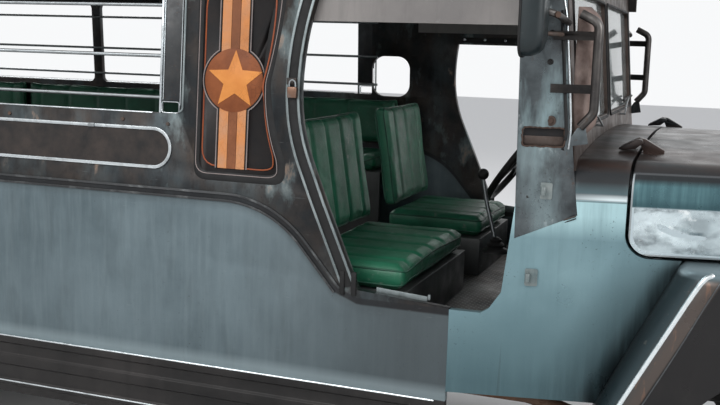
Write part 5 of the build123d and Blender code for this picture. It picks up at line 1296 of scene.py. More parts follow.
def jambLine(head):
    # rear edge of the doorway from head to foot
    (x, z), bow = doorway["waist"], doorway["bow"]
    middle = (head + z) / 2
    line = arcThrough((x + (head - z) ** 2 / bow, head), (x + (middle - z) ** 2 / bow, middle), (x, z))
    line += arcThrough((x, z), (0.751, 1.380), (0.785, 1.273), 10)[1:]
    return line + [(0.8353, 1.157), (0.8857, 1.041), (0.936, 0.925), (0.9405, 0.908)]


def doorwayTrim():
    bands, feet = [], []
    for side in (-1, 1):
        line = jambLine(doorway["heads"][side])
        edges = [letIn(line, amount) for amount in doorway["band"]]
        last = len(line) - 1

        def place(u, v):
            k = int(round(u * last))
            x = edges[0][k][0] * (1 - v) + edges[1][k][0] * v
            z = edges[0][k][1] * (1 - v) + edges[1][k][1] * v
            return onWall(side, x, z, 0.0008 + 0.0022 * sin(pi * v))

        bands.append(mappedSheet(last, 4, place, 0.0016, 0.0))
        for x0, x1 in doorway["feet"]:
            y, z = side * (body["half"] + 0.0035), doorway["feetLow"]
            feet.append(block((x0, y - 0.004, z - 0.028), (x1, y + 0.004, z + 0.045), 0.002))
    finishPiece(bands, "jamb_rubber", "rubber", smooth=60.0)
    finishPiece(feet, "jamb_feet", "rubber")
    (x0, z0), (x1, z1) = doorway["sill"]
    strips = []
    for side in (-1, 1):
        y = side * doorway["sillY"]
        ring = [(x0, y, z0), (x1, y, z1), (x1, y, z1 - 0.030), (x0, y, z0 - 0.030)]
        strips.append(plate(ring, 0.003, (0, -side, 0), 0.0008))
        x, y, z = doorway["peg"]
        strips.append(rod((x, side * y, z), (x, side * y, z + 0.016), 0.0045, 12, 0.0008))
    finishPiece(strips, "door_sill_strips", "jambTeal")


def padlock():
    x, z = doorway["lockAt"]
    wide, tall, deep = doorway["lockSize"]
    y = -wallOut(z) - 0.011
    case = block((x - wide / 2, y - deep / 2, z - tall / 2), (x + wide / 2, y + deep / 2, z + tall / 2),
                 0.0035, 3)
    finishPiece(case, "padlock_body", "brass")
    top = z + tall / 2
    bow = [(x - 0.010, y, top - 0.003), (x - 0.010, y, top + 0.008)]
    bow += [(x - 0.010 * cos(pi * k / 8), y, top + 0.008 + 0.012 * sin(pi * k / 8)) for k in range(9)]
    bow += [(x + 0.010, y, top + 0.008), (x + 0.010, y, top - 0.003)]
    bars("padlock_shackle", [bow], 0.0026, "dullTrim", "bright_steel", sides=3)
    hasp = [block((x - 0.022, y + 0.004, top + 0.006), (x + 0.010, y + 0.010, top + 0.026), 0.002),
            block((x - 0.006, y - 0.002, top + 0.012), (x + 0.004, y + 0.008, top + 0.020), 0.0015)]
    finishPiece(hasp, "padlock_hasp", "iron")


doorwayTrim()
padlock()
print("stage: doorway made")


# Windscreen pillars: recess lining, rusty bolt, pegs, rubber groove and bright strip, corner plate

pillar = {
    "recess": (1.414, 1.528, 1.357, 1.409),
    "floor": 0.0112,
    "split": 1.385,
    "bolt": (1.489, 1.429),
    "pegs": ((1.480, 1.671), (1.479, 1.592)),
    "groove": ((1.503, 1.733), (1.506, 1.679), (1.514, 1.598), (1.521, 1.516), (1.529, 1.433),
               (1.531, 1.391), (1.524, 1.350)),
    "strip": ((1.506, 1.760), (1.516, 1.707), (1.524, 1.626), (1.532, 1.544), (1.539, 1.461), (1.543, 1.406),
              (1.540, 1.352)),
    "seam": ((1.410, 1.090), (1.466, 1.116), (1.522, 1.141), (1.572, 1.164)),
    "corner": ((1.540, 1.360), (1.592, 1.369), (1.581, 1.420), (1.560, 1.412), (1.545, 1.386)),
}


def pillarTrim():
    x0, x1, z0, z1 = pillar["recess"]
    floor = -pillar["floor"]
    split = pillar["split"]
    ring = [onCowl(-1, x, z, floor) for x, z in ((x0, split), (x1, split), (x1, z1), (x0, z1))]
    dark = plate(ring, 0.001, (0, 1, 0))
    finishPiece(dark, "recess_dark", "panelBlack")
    ring = [onCowl(-1, x, z, floor + 0.002) for x, z in ((x0, z0), (x1, z0), (x1, split), (x0, split))]
    rust = plate(ring, 0.003, (0, 1, 0), 0.0008)
    finishPiece(rust, "recess_rust", "frameBrown")
    # torn edge of the recess
    rng = random.Random(7)
    outline = rounded(fourCorners(x0, z0, x1, z1), 0.010, closed=True, steps=4)
    ring = []
    for (ax, az, _), (bx, bz, _) in zip(outline, outline[1:] + outline[:1]):
        steps = max(1, int(hypot(bx - ax, bz - az) / 0.006))
        for k in range(steps):
            t = k / steps
            x = ax + (bx - ax) * t + rng.uniform(-0.0016, 0.0016)
            ring.append((x, az + (bz - az) * t + rng.uniform(-0.0018, 0.0018)))
    lip = tubes([[onCowl(-1, x, z, rng.uniform(-0.0006, 0.0014)) for x, z in ring]], 0.0022, closed=True,
                sides=2)
    finishPiece(lip, "recess_torn_edge", "seamRust")
    x, z = pillar["bolt"]
    facing = Vector((-sin(atan(body["taper"])), -cos(atan(body["taper"])), 0.0))
    foot = Vector(onCowl(-1, x, z, -0.001))
    washer = rod(foot, foot + facing * 0.004, 0.0145, 20, 0.001)
    head = boltHeads([onCowl(-1, x, z, 0.0028)], facing, 0.0085, 0.006)
    finishPiece([washer, head], "pillar_bolt", "seamRust")
    pegs = []
    for x, z in pillar["pegs"]:
        place = onSkin("a_pillars", (x, -1.3, z), (0, 1, 0), -0.002)
        pegs.append(rod(place, place + facing * 0.007, 0.0085, 16, 0.001))
        pegs.append(rod(place + facing * 0.006, place + facing * 0.015, 0.0050, 14, 0.001))
    finishPiece(pegs, "pillar_pegs", "darkTrim")
    grooves, strips, seams, welts = [], [], [], []
    for side in (-1, 1):
        for points, routes, lift in ((pillar["groove"], grooves, 0.0012), (pillar["strip"], strips, 0.0012),
                                     (pillar["seam"], seams, 0.0030)):
            fine = flowing([(x, 0, z) for x, z in points], 4)
            routes.append([tuple(onSkin("a_pillars", (x, side * 1.3, z), (0, -side, 0), lift))
                           for x, _, z in fine])
        welts.append([(x + 0.001, y, z - 0.007) for x, y, z in seams[-1]])
    bars("pillar_rubber", grooves, 0.0046, "rubber", "dark_trim")
    bars("pillar_strip", strips, 0.0034, "trim", "bright_steel", sides=3)
    bars("pillar_seam", seams, 0.0026, "iron", "dark_trim")
    bars("pillar_seam_welt", welts, 0.0016, "rubber", "dark_trim")
    plates = []
    for side in (-1, 1):
        ring = [onCowl(side, x, z, 0.004) for x, z in pillar["corner"]]
        plates.append(plate(ring, 0.0035, (0, -side, 0), 0.001))
    finishPiece(plates, "pillar_corner_plates", "pillar")


pillarTrim()
print("stage: pillars made")


# Hood flanks with their dents, and on the fenders' rolled edges a bright tube along each crest as a painted
# highlight and a thin bead

hoodFlank = {
    "low": 1.0725,
    "high": 1.1965,
    "rear": 1.7262,
    "front": 2.826,
    "corner": 0.050,
    "lift": 0.0052,
    "dents": (
        # station, height, depth, reach along, reach up
        (1.775, 1.168, 0.0020, 0.020, 0.016),
        (1.800, 1.146, 0.0026, 0.030, 0.020),
        (1.845, 1.128, 0.0030, 0.040, 0.020),
        (1.900, 1.118, 0.0028, 0.034, 0.014),
        (1.952, 1.140, 0.0026, 0.040, 0.030),
        (2.010, 1.102, 0.0022, 0.050, 0.016),
        (2.120, 1.150, 0.0014, 0.070, 0.030),
        (2.330, 1.120, 0.0018, 0.060, 0.024),
        (2.520, 1.160, 0.0012, 0.050, 0.020),
        (2.700, 1.110, 0.0020, 0.045, 0.020),
    ),
}


def hoodFlanks():
    flanks = []
    for side in (-1, 1):
        def place(u, v):
            z = hoodFlank["low"] + (hoodFlank["high"] - hoodFlank["low"]) * v
            corner = hoodFlank["corner"]
            below = max(0.0, hoodFlank["low"] + corner - z)
            rear = hoodFlank["rear"] + corner - sqrt(max(0.0, corner ** 2 - below ** 2))
            x = rear + (hoodFlank["front"] - rear) * u
            sink = sum(deep * exp(-((x - dx) / wide) ** 2 - ((z - dz) / tall) ** 2)
                       for dx, dz, deep, wide, tall in hoodFlank["dents"])
            sink = min(1.9 * sink, 0.0062) * (1.0 if side < 0 else 0.5)
            sink += 0.0004 * sin(9.0 * x + 2.0) * sin(21.0 * z)
            return onCowl(side, x, z, hoodFlank["lift"] - sink)

        flanks.append(mappedSheet(170, 26, place, 0.0020, -1.0 if side < 0 else 1.0))
    finishPiece(flanks, "hood_flanks", "flank", "hood_lid", 60.0)


fenderEdge = {
    "crest": ((1.948, 1.046), (1.918, 1.020), (1.845, 0.879), (1.741, 0.674), (1.712, 0.616)),
    "bead": ((1.976, 1.048), (1.951, 1.001), (1.871, 0.829), (1.796, 0.677), (1.764, 0.612)),
}


def fenderEdges():
    rolls, beads = [], []
    for side in (-1, 1):
        node = "fender_right" if side < 0 else "fender_left"
        for points, routes, lift in ((fenderEdge["crest"], rolls, -0.004),
                                     (fenderEdge["bead"], beads, 0.0004)):
            fine = flowing([(x, 0, z) for x, z in points], 5)
            routes.append([tuple(onSkin(node, (x, side * 1.3, z), (0, -side, 0), lift)) for x, _, z in fine])
    # the bright tube along the crest stands for the highlight on the rounded corner: a painted highlight
    bars("fender_roll_highlights", rolls, 0.0085, "fenderRollHighlight", "bright_steel", sides=4)
    bars("fender_beads", beads, 0.0022, "edgeSteel", "bright_steel")


hoodFlanks()
fenderEdges()
print("stage: hood flanks and fender edges made")


# Outside mirrors on their arms, the near side plate of the windscreen frame, and the cab fan

mirror = {
    "at": (1.4515, 1.000, 1.735),
    "half": (0.0300, 0.0565, 0.130),
    "round": 0.050,
    "steps": ((0.0, 1.0), (0.42, 0.985), (0.72, 0.93), (0.90, 0.84), (1.0, 0.70)),
    "arm": ((1.470, 0.958, 1.728), (1.500, 0.940, 1.718), (1.518, 0.905, 1.704), (1.522, 0.872, 1.700)),
    "tab": ((1.474, 0.956, 1.668), (1.502, 0.930, 1.667), (1.508, 0.876, 1.667)),
}


def mirrorPieces():
    # the glass looks back; the crowned shell faces forward
    x, y, z = mirror["at"]
    hx, hy, hz = mirror["half"]
    ring = rounded(fourCorners(y - hy, z - hz, y + hy, z + hz), mirror["round"], closed=True, steps=9)
    count, last = len(ring), len(mirror["steps"]) - 1
    rims, glasses, arms, tabs, nuts = [], [], [], [], []
    for side, shell, label in ((-1, "mirrorShell", "right"), (1, "chrome", "left")):
        def place(u, v):
            b, c, _ = ring[int(round(u * count)) % count]
            lift, draw = mirror["steps"][int(round(v * last))]
            return (x - hx + 2 * hx * lift, side * (y + (b - y) * draw), z + (c - z) * draw)

        case = laidGrid(count, last, place)
        outward(case, 0.00001)
        editAll(case, bpy.ops.mesh.region_to_loop, lambda: bpy.ops.mesh.fill_holes(sides=0))
        outward(case)
        edgeRound(case, 0.002, 2, 30.0)
        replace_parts(finishPiece(case, "mirror_case_" + label, shell, smooth=50.0), "mirrors")
        rims.append([(x - hx, side * b, c) for b, c, _ in ring])
        inner = [(x - hx - 0.0004, side * (y + (b - y) * 0.93), z + (c - z) * 0.965) for b, c, _ in ring]
        glasses.append(plate(inner, 0.002, (1, 0, 0)))
        arms.append(flowing([(a, side * b, c) for a, b, c in mirror["arm"]], 5))
        tabs.append(flowing([(a, side * b, c) for a, b, c in mirror["tab"]], 5))
        a, b, c = mirror["arm"][1]
        nuts.append(boltHeads([(a, side * (b + 0.006), c)], (0.5, side, 0), 0.010, 0.010))
    bars("mirror_rims", rims, 0.0036, "rubber", "dark_trim", sides=3, closed=True)
    finishPiece(glasses, "mirror_glass", "mirrorGlass")
    bars("mirror_arms", arms, 0.0095, "loopSteel", "dark_trim", sides=4)
    bars("mirror_tabs", tabs, 0.0060, "iron", "dark_trim", sides=4)
    finishPiece(nuts, "mirror_nuts", "iron")


screenWing = {"low": 1.380, "high": 1.745, "outer": 0.838, "inner": 0.800, "rear": 1.540, "front": 1.604,
              "draw": 0.045}


def screenWings():
    # only the near one is seen in the photograph
    def place(u, v):
        z = screenWing["low"] + (screenWing["high"] - screenWing["low"]) * v
        ends = max(0.0, 1.0 - v / 0.16) ** 2 + 0.8 * max(0.0, (v - 0.86) / 0.14) ** 2
        reach = screenWing["front"] - screenWing["rear"] - screenWing["draw"] * ends
        bulge = 0.004 * sin(7.0 * v) * u
        y = screenWing["outer"] + (screenWing["inner"] - screenWing["outer"]) * u ** 2.2 - bulge
        return (screenWing["rear"] + reach * u, -y, z)

    wing = mappedSheet(12, 26, place, 0.003, 0.0, 0.0008)
    finishPiece(wing, "screen_side_wing", "wingRust", smooth=60.0)


mirrorPieces()
screenWings()
dressed("cab_fan", "darkTrim", 0.001, 40.0)
print("stage: mirrors made")


# Tyres with grooves and shoulder lugs, and the fittings on the wheels

tyreForm = {
    # profile of one half from bead to tread: off the middle, radius
    "half": ((0.062, 0.205), (0.071, 0.213), (0.083, 0.246), (0.0885, 0.272), (0.0910, 0.275),
             (0.0912, 0.283), (0.0905, 0.286), (0.0925, 0.306), (0.0945, 0.326), (0.0950, 0.340),
             (0.0918, 0.351), (0.0830, 0.3625), (0.0710, 0.3695), (0.0510, 0.3700), (0.0495, 0.3630),
             (0.0435, 0.3630), (0.0420, 0.3700), (0.0200, 0.3700), (0.0185, 0.3630), (0.0125, 0.3630),
             (0.0110, 0.3700)),
    "steps": 132,
    # shoulder lugs: least radius, off the middle, depth
    "lugs": (0.350, 0.0505, 0.0065),
    # cuts in the middle rib: least radius, off the middle, shrink
    "sipes": (0.369, 0.043, 0.990),
    "nutRing": 0.078,
    "nuts": 6,
    "valve": 0.150,
}


def tyres():
    half = list(tyreForm["half"])
    first = turned(half + [(-y, r) for y, r in reversed(half)], (0, 0, 0), (0, 1, 0), tyreForm["steps"])
    lugReach, lugY, lugDepth = tyreForm["lugs"]
    sipeReach, sipeY, sipeShrink = tyreForm["sipes"]
    for vertex in first.data.vertices:
        place = vertex.co
        reach = hypot(place.x, place.z)
        column = round(atan2(place.z, place.x) / (2 * pi) * tyreForm["steps"])
        if reach > lugReach and abs(place.y) > lugY and column % 3 == (0 if place.y > 0 else 1):
            shrink = 1 - lugDepth / reach
            vertex.co = (place.x * shrink, place.y, place.z * shrink)
        if reach > sipeReach and abs(place.y) < sipeY and column % 6 == 2:
            vertex.co = (place.x * sipeShrink, place.y, place.z * sipeShrink)
    for name, station, side in corners:
        node = "tyre_" + name
        place = Matrix.Translation((station, side * axles["wheelY"], axles["z"]))
        piece = finishPiece(spareOf(first, "tyre", place), node + "_treaded", "tyre", bodyOf(node),
                            28.0)
        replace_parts(piece, node)
    bpy.data.objects.remove(first)


def wheelFittings():
    for name, station, side in corners:
        node = "wheel_" + name
        z = axles["z"]
        ring, count = tyreForm["nutRing"], tyreForm["nuts"]
        seats = [(station + ring * cos(2 * pi * k / count), z + ring * sin(2 * pi * k / count))
                 for k in range(count)]
        facing = Vector((0, side, 0))
        faces = [onSkin(node, (a, side * 1.3, b), (0, -side, 0), -0.001) for a, b in seats]
        nuts = boltHeads(faces, facing, 0.0125, 0.017, 6)
        studs = [rod(f, f + facing * 0.025, 0.0055, 12, 0.0008) for f in faces]
        ride = bodyOf(node)
        finishPiece([nuts] + studs, node + "_nuts", "iron", ride)
        centre = onSkin(node, (station, side * 1.3, z), (0, -side, 0), -0.001)
        dome = [(0.0, 0.0), (0.0, 0.036), (0.004, 0.036)]
        dome += [(0.004 + 0.010 * sin(t), 0.033 * cos(t)) for t in (0.0, 0.35, 0.7, 1.05, 1.3, pi / 2)]
        finishPiece(turned(dome, centre, facing, 40), node + "_cap", "chrome", ride, 40.0)
        a, b = station + tyreForm["valve"] * cos(0.9), z + tyreForm["valve"] * sin(0.9)
        foot = onSkin(node, (a, side * 1.3, b), (0, -side, 0), -0.002)
        stem = [rod(foot, foot + facing * 0.026, 0.0042, 12, 0.0008),
                rod(foot + facing * 0.022, foot + facing * 0.034, 0.0056, 12, 0.001)]
        finishPiece(stem, node + "_valve", "rubber", ride)


tyres()
wheelFittings()
print("stage: wheels made")


# Lamps: bowls, bezels, bulbs and domed lenses

lamps = {
    "head": (2.8403, 0.680, 0.790),
    "tail": (-2.8003, 0.780, (0.880, 0.990)),
}


def domedLens(start, rim, rise, wall):
    # closed profile of a thin dome, rim first
    outer = [(start + rise * (1 - (k / 8) ** 2), rim * k / 8) for k in range(8, -1, -1)]
    return outer + [(a - wall, r) for a, r in reversed(outer)]


def lampPieces():
    shells, lenses, bulbs, screws = [], [], [], []
    x, y, z = lamps["head"]
    bowl = [(0.0, 0.0), (0.0, 0.095), (0.030, 0.100), (0.036, 0.0990), (0.041, 0.0950), (0.0425, 0.0890),
            (0.0390, 0.0862), (0.028, 0.0790), (0.016, 0.0600), (0.009, 0.0350), (0.006, 0.0)]
    for side in (-1, 1):
        shells.append(turned(bowl, (x, side * y, z), (1, 0, 0), 56))
        lenses.append(turned(domedLens(0.0405, 0.0868, 0.0170, 0.003), (x, side * y, z), (1, 0, 0), 56))
        bulbs.append(rod((x + 0.006, side * y, z), (x + 0.030, side * y, z), 0.011, 20, 0.004, 0.008))
        for turn in (0.5, 2.6, 4.71):
            place = (x + 0.033, side * y + 0.0995 * cos(turn), z + 0.0995 * sin(turn))
            screws.append(boltHeads([place], (0.5, 0.8 * cos(turn), 0.8 * sin(turn)), 0.0045, 0.0022, 12))
    shell = finishPiece(shells, "headlamp_shells", "chrome", smooth=38.0)
    faceFinishes(shell, ["chrome", "reflector"], lambda c: 1 if (
        c.x < x + 0.0385 and hypot(abs(c.y) - y, c.z - z) < 0.0862) else 0)
    lens = finishPiece(lenses, "headlamp_lenses", "lampGlass", smooth=50.0)
    finishPiece(bulbs, "headlamp_bulbs", "bulb", smooth=50.0)
    finishPiece(screws, "headlamp_screws", "dullTrim")
    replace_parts(shell, "headlamps")
    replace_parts(lens, "headlamps")
    x, y, heights = lamps["tail"]
    rims, reds, ambers = [], [], []
    rim = [(0.0, 0.0), (0.0, 0.042), (0.013, 0.0408), (0.018, 0.0385), (0.018, 0.0350), (0.013, 0.0338),
           (0.010, 0.0)]
    for side in (-1, 1):
        for z, group in zip(heights, (ambers, reds)):
            rims.append(turned(rim, (x, side * y, z), (-1, 0, 0), 44))
            group.append(turned(domedLens(0.0165, 0.0336, 0.0130, 0.0025), (x, side * y, z), (-1, 0, 0), 44))
    for pieces, name, finish, slotName in ((rims, "tail_lamp_rims", "chrome", "bright_steel"),
                                           (reds, "tail_lamp_red_lenses", "redLens", "red_lens"),
                                           (ambers, "tail_lamp_amber_lenses", "amberLens", "red_lens")):
        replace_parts(finishPiece(pieces, name, finish, smooth=45.0), "tail_lamps")


lampPieces()
print("stage: lamps made")


# Front and rear: grille screen, blank plates and their bolts, bumper bolts

ends = {
    "screenRows": ((0.676, 1.066, 0.530), (1.106, 1.264, 0.500)),
    "screenPitch": 0.013,
    "frontPlate": ((3.0003, -0.170, 0.512), (3.0023, 0.170, 0.648)),
    "rearPlate": ((-2.8026, -0.850, 0.640), (-2.8006, -0.510, 0.776)),
    "plateBolts": 0.125,
    "plateEdge": 0.008,
}


def endPieces():
    wires = []
    for low, high, half in ends["screenRows"]:
        for k in range(int((high - low) / ends["screenPitch"]) + 1):
            z = low + k * ends["screenPitch"]
            wires.append([(2.7947, -half, z), (2.7947, half, z)])
    bars("grille_screen", wires, 0.0014, "darkTrim", "dark_trim", sides=1)
    for name, facing in (("frontPlate", 1), ("rearPlate", -1)):
        low, high = ends[name]
        sheet = block(low, high, 0.0008, 1)
        face = high[0] if facing > 0 else low[0]
        middle = (low[1] + high[1]) / 2
        edge = ends["plateEdge"]
        ring = rounded(fourCorners(low[1] + edge, low[2] + edge, high[1] - edge, high[2] - edge), 0.012,
                       closed=True)
        bead = tubes([[(face, y, z) for y, z, _ in ring]], 0.0016, closed=True, sides=2)
        label = "front" if facing > 0 else "rear"
        finishPiece([sheet, bead], "blank_plate_" + label, "plateWhite")
        z = 0.580 if facing > 0 else (low[2] + high[2]) / 2
        places = [(face - facing * 0.0004, middle + side * ends["plateBolts"], z) for side in (-1, 1)]
        finishPiece(boltHeads(places, (facing, 0, 0), 0.008, 0.005), "plate_bolts_" + label, "dullTrim")
    places = [(2.9996, side * y, z) for side in (-1, 1) for y in (0.52, 0.60) for z in (0.553, 0.607)]
    finishPiece(boltHeads(places, (1, 0, 0), 0.010, 0.006), "bumper_bolts", "dullTrim")


endPieces()


# Roof: lap seams, gutters, the lining inside with its coves and battens, header strip over the far doorway

roofTrim = {
    "topZ": 2.2105,
    "seamHalf": (0.014, 0.880),
    "coveIn": 0.0275,
    "coveEnd": 0.700,
    "battenHalf": (0.016, 0.845),
    "fromBelow": 1.60,
    "seams": (-2.30, -1.62, -0.94, -0.26, 0.42, 1.10),
    "gutter": (-2.862, 1.712, 0.8955, 1.9885),
    "lining": (-2.735, 1.420, 0.850),
    "coves": {"cab_coves": (0.560, 1.400, 1.690, 1.905), "cabin_coves": (-2.730, 0.545, 1.845, 1.925)},
    "battens": (-2.10, -1.42, -0.74, -0.06, 0.62, 1.22),
}


def roofPieces():
    seams = []
    for x in roofTrim["seams"]:
        def place(u, v):
            along, across = roofTrim["seamHalf"]
            skin = onSkin("roof", (x - along + 2 * along * u, -across + 2 * across * v, 2.6), (0, 0, -1))
            skin.z = min(skin.z + 0.0002, roofTrim["topZ"])
            return skin

        seams.append(mappedSheet(1, 40, place, 0.0012, 1.0))
    finishPiece(seams, "roof_seams", "roof", smooth=40.0)
    rear, front, y, z = roofTrim["gutter"]
    routes = [[(rear, side * y, z), (front, side * y, z)] for side in (-1, 1)]
    bars("roof_gutters", routes, 0.0070, "dullTrim", "bright_steel", sides=3)
    rear, front, half = roofTrim["lining"]
    below = roofTrim["fromBelow"]

    def under(u, v):
        place = onSkin("roof", (rear + (front - rear) * u, half * (2 * v - 1), below), (0, 0, 1), 0.010)
        place.z -= 0.0015 * sin(2 * pi * 11 * u) * (1 - (2 * v - 1) ** 4)
        return place

    finishPiece(mappedSheet(132, 24, under, 0.003, 1.0), "roof_lining", "ceiling", smooth=60.0)
    for name, (rear, front, foot, turn) in roofTrim["coves"].items():
        coves = []
        for side in (-1, 1):
            def cove(u, v):
                x = rear + (front - rear) * u
                if v <= 0.5:
                    z = foot + (turn - foot) * v * 2
                    return (x, side * (wallOut(z) - roofTrim["coveIn"]), z)
                t = (v - 0.5) * 2
                start = Vector((x, side * (wallOut(turn) - roofTrim["coveIn"]), turn))
                end = onSkin("roof", (x, side * roofTrim["coveEnd"], below), (0, 0, 1), 0.014)
                middle = Vector((x, start.y, end.z))
                return start * (1 - t) ** 2 + middle * 2 * t * (1 - t) + end * t * t

            coves.append(mappedSheet(36, 16, cove, 0.002, 0.0))
        finishPiece(coves, name, "ceiling", smooth=60.0)
    battens = []
    for x in roofTrim["battens"]:
        def strip(u, v):
            along, across = roofTrim["battenHalf"]
            return onSkin("roof", (x - along + 2 * along * u, across * (2 * v - 1), below), (0, 0, 1), 0.0155)

        battens.append(mappedSheet(1, 30, strip, 0.006, 1.0, 0.001))
    finishPiece(battens, "roof_battens", "wingRust", smooth=40.0)
    y = wallOut(1.66) - 0.0253
    strip = block((0.750, y - 0.006, 1.649), (1.390, y, 1.673), 0.001)
    finishPiece(strip, "cab_header_strip", "darkTrim")
    places = [(0.785 + 0.095 * k, y - 0.0058, 1.662 + 0.002 * (k % 2)) for k in range(7)]
    finishPiece(boltHeads(places, (0, -1, 0), 0.0065, 0.004, 12), "cab_header_screws", "trim",
                smooth=40.0)


roofPieces()
print("stage: ends and roof made")


# Windscreen gaskets, wipers and the mirror inside

screen = {
    "y": 0.405,
    "z": 1.597,
    "half": (0.377, 0.196),
    "corner": 0.030,
    # from the pivot: ahead, across, up
    "wiper": ((0.0, 0.0, 0.0), (0.022, 0.0, 0.0), (0.016, 0.10, 0.034), (0.010, 0.235, 0.052)),
}


def screenPieces():
    gaskets, arms, blades = [], [], []
    for side in (-1, 1):
        a, b = screen["half"]
        y, z = side * screen["y"], screen["z"]
        ring = rounded(fourCorners(y - a, z - b, y + a, z + b), screen["corner"], closed=True, steps=5)
        gaskets.append([tuple(onSkin("windscreen_frame", (2.2, y, z), (-1, 0, 0), 0.0005))
                        for y, z, _ in ring])
        pivot = onSkin("windscreen_frame", (2.2, side * 0.36, 1.388), (-1, 0, 0), -0.001)
        arms.append([tuple(pivot + Vector((ahead, side * across, up)))
                     for ahead, across, up in screen["wiper"]])
        low = pivot + Vector((0.006, side * 0.07, 0.050))
        high = pivot + Vector((0.005, side * 0.40, 0.056))
        blades.append([tuple(low), tuple(high)])
    bars("screen_gaskets", gaskets, 0.0050, "rubber", "dark_trim", sides=3, closed=True)
    bars("wiper_arms", arms, 0.0036, "dullTrim", "bright_steel", sides=3)
    bars("wiper_blades", blades, 0.0050, "rubber", "dark_trim")
    shell = block((1.404, -0.125, 1.806), (1.421, 0.125, 1.862), 0.007, 3)
    finishPiece(shell, "inner_mirror_shell", "darkTrim", smooth=50.0)
    face = block((1.4022, -0.117, 1.812), (1.4042, 0.117, 1.856), 0.0008)
    finishPiece(face, "inner_mirror_face", "mirrorGlass")
    stem = onSkin("windscreen_frame", (1.30, 0.0, 1.880), (1, 0, 0), -0.002)
    route = [(1.418, 0.0, 1.845), (1.430, 0.0, 1.872), tuple(stem)]
    bars("inner_mirror_stem", [rounded(route, 0.01)], 0.0050, "iron", "dark_iron", sides=3)


screenPieces()


# Driver's place: dials with plain ticks, knobs, pedals, gear lever

driver = {
    "dials": ((0.530, 1.185, 0.040), (0.430, 1.190, 0.046), (0.330, 1.185, 0.040)),
    "knobs": (0.180, 0.120, 0.060, 0.000),
    "pedals": (0.385, 0.485, 0.590),
    "lever": ((1.150, 0.060, 0.846), (1.145, 0.062, 0.900), (1.105, 0.070, 1.040), (1.085, 0.075, 1.130)),
}


def driverPieces():
    bezels, dialFaces, ticks, needles = [], [], [], []
    for y, z, radius in driver["dials"]:
        foot = onSkin("dashboard", (1.0, y, z), (1, 0, 0), -0.001)
        rim = [(0.0, radius), (0.010, radius), (0.013, radius - 0.002), (0.013, radius - 0.005),
               (0.007, radius - 0.006), (0.0, radius - 0.006)]
        bezels.append(turned(rim, foot, (-1, 0, 0), 40))
        dialFaces.append(rod(foot, foot - Vector((0.006, 0, 0)), radius - 0.005, 40))
        for k in range(13):
            turn = radians(-30 + 20 * k)
            near, far = radius - 0.014, radius - 0.008
            ticks.append([tuple(foot + Vector((-0.0065, r * cos(turn), r * sin(turn)))) for r in (near, far)])
        turn = radians(200)
        needles.append([tuple(foot + Vector((-0.0085, r * cos(turn), r * sin(turn))))
                        for r in (-0.006, radius - 0.014)])
    finishPiece(bezels, "dial_bezels", "chrome", smooth=40.0)
    finishPiece(dialFaces, "dial_faces", "panelBlack")
    bars("dial_ticks", ticks, 0.0007, "plateWhite", "bright_steel", sides=1)
    bars("dial_needles", needles, 0.0010, "redLens", "red_lens", sides=1)
    knobs, pads, stems = [], [], []
    for y in driver["knobs"]:
        foot = onSkin("dashboard", (1.0, y, 1.175), (1, 0, 0), -0.001)
        knobs.append(rod(foot, foot - Vector((0.016, 0, 0)), 0.0045, 14))
        knobs.append(rod(foot - Vector((0.014, 0, 0)), foot - Vector((0.028, 0, 0)), 0.011, 20, 0.003))
    finishPiece(knobs, "dash_knobs", "darkTrim", smooth=40.0)
    for y in driver["pedals"]:
        pad = block((-0.032, -0.034, -0.006), (0.032, 0.034, 0.006), 0.004, 2)
        pad.data.transform(Matrix.Translation((1.440, y, 0.965)) @ Matrix.Rotation(radians(-48.0), 4, "Y"))
        pads.append(pad)
        stems.append([(1.443, y, 0.962), (1.520, y, 0.985), (1.548, y, 1.075)])
    finishPiece(pads, "pedal_pads", "rubber")
    bars("pedal_arms", [rounded(route, 0.03) for route in stems], 0.0075, "iron", "dark_iron", sides=3)
    bars("gear_lever", [flowing(driver["lever"], 5)], 0.0080, "dullTrim", "bright_steel", sides=4)
    x, y, z = driver["lever"][-1]
    ball = [(0.022 * -cos(pi * k / 10), 0.022 * sin(pi * k / 10)) for k in range(11)]
    finishPiece(turned(ball, (x, y, z + 0.016), (0, 0, 1), 28), "gear_knob", "darkTrim",
                smooth=60.0)
    x, y, z = driver["lever"][0]
    boot = [(0.0, 0.0), (0.0, 0.055), (0.008, 0.052), (0.020, 0.030), (0.030, 0.034), (0.040, 0.020),
            (0.048, 0.023), (0.058, 0.011), (0.058, 0.0)]
    finishPiece(turned(boot, (x, y, 0.8500), (0, 0, 1), 32), "gear_boot", "rubber", smooth=60.0)


driverPieces()
print("stage: windscreen and driver's place made")


# Padded seats: green vinyl pads swollen by a cloth run, drawn down along their channels and piped at the rim

padding = {
    "grain": 0.008,
    "pressure": 4.0,
    "frames": 20,
    "swell": 0.011,
    "channel": (0.0075, 0.011),
    "piping": 0.0034,
    "fill": 0.7,
    "bench": {"size": (1.0705, 0.343, 0.075), "rows": 3, "rear": -2.730, "y": 0.7268, "z": 1.0985},
    "back": {"size": (1.0705, 0.044, 0.236), "y": 0.8672, "z": 1.2650},
    "seats": {"right": (-0.450, 0.760), "left": (0.450, 0.520)},
    "seat": {"size": (0.424, 0.085), "x": 0.8570, "z": 0.9140},
    "rest": {"size": (0.062, 0.432), "x": 0.6370, "z": 1.1720, "lean": -9.1},
}


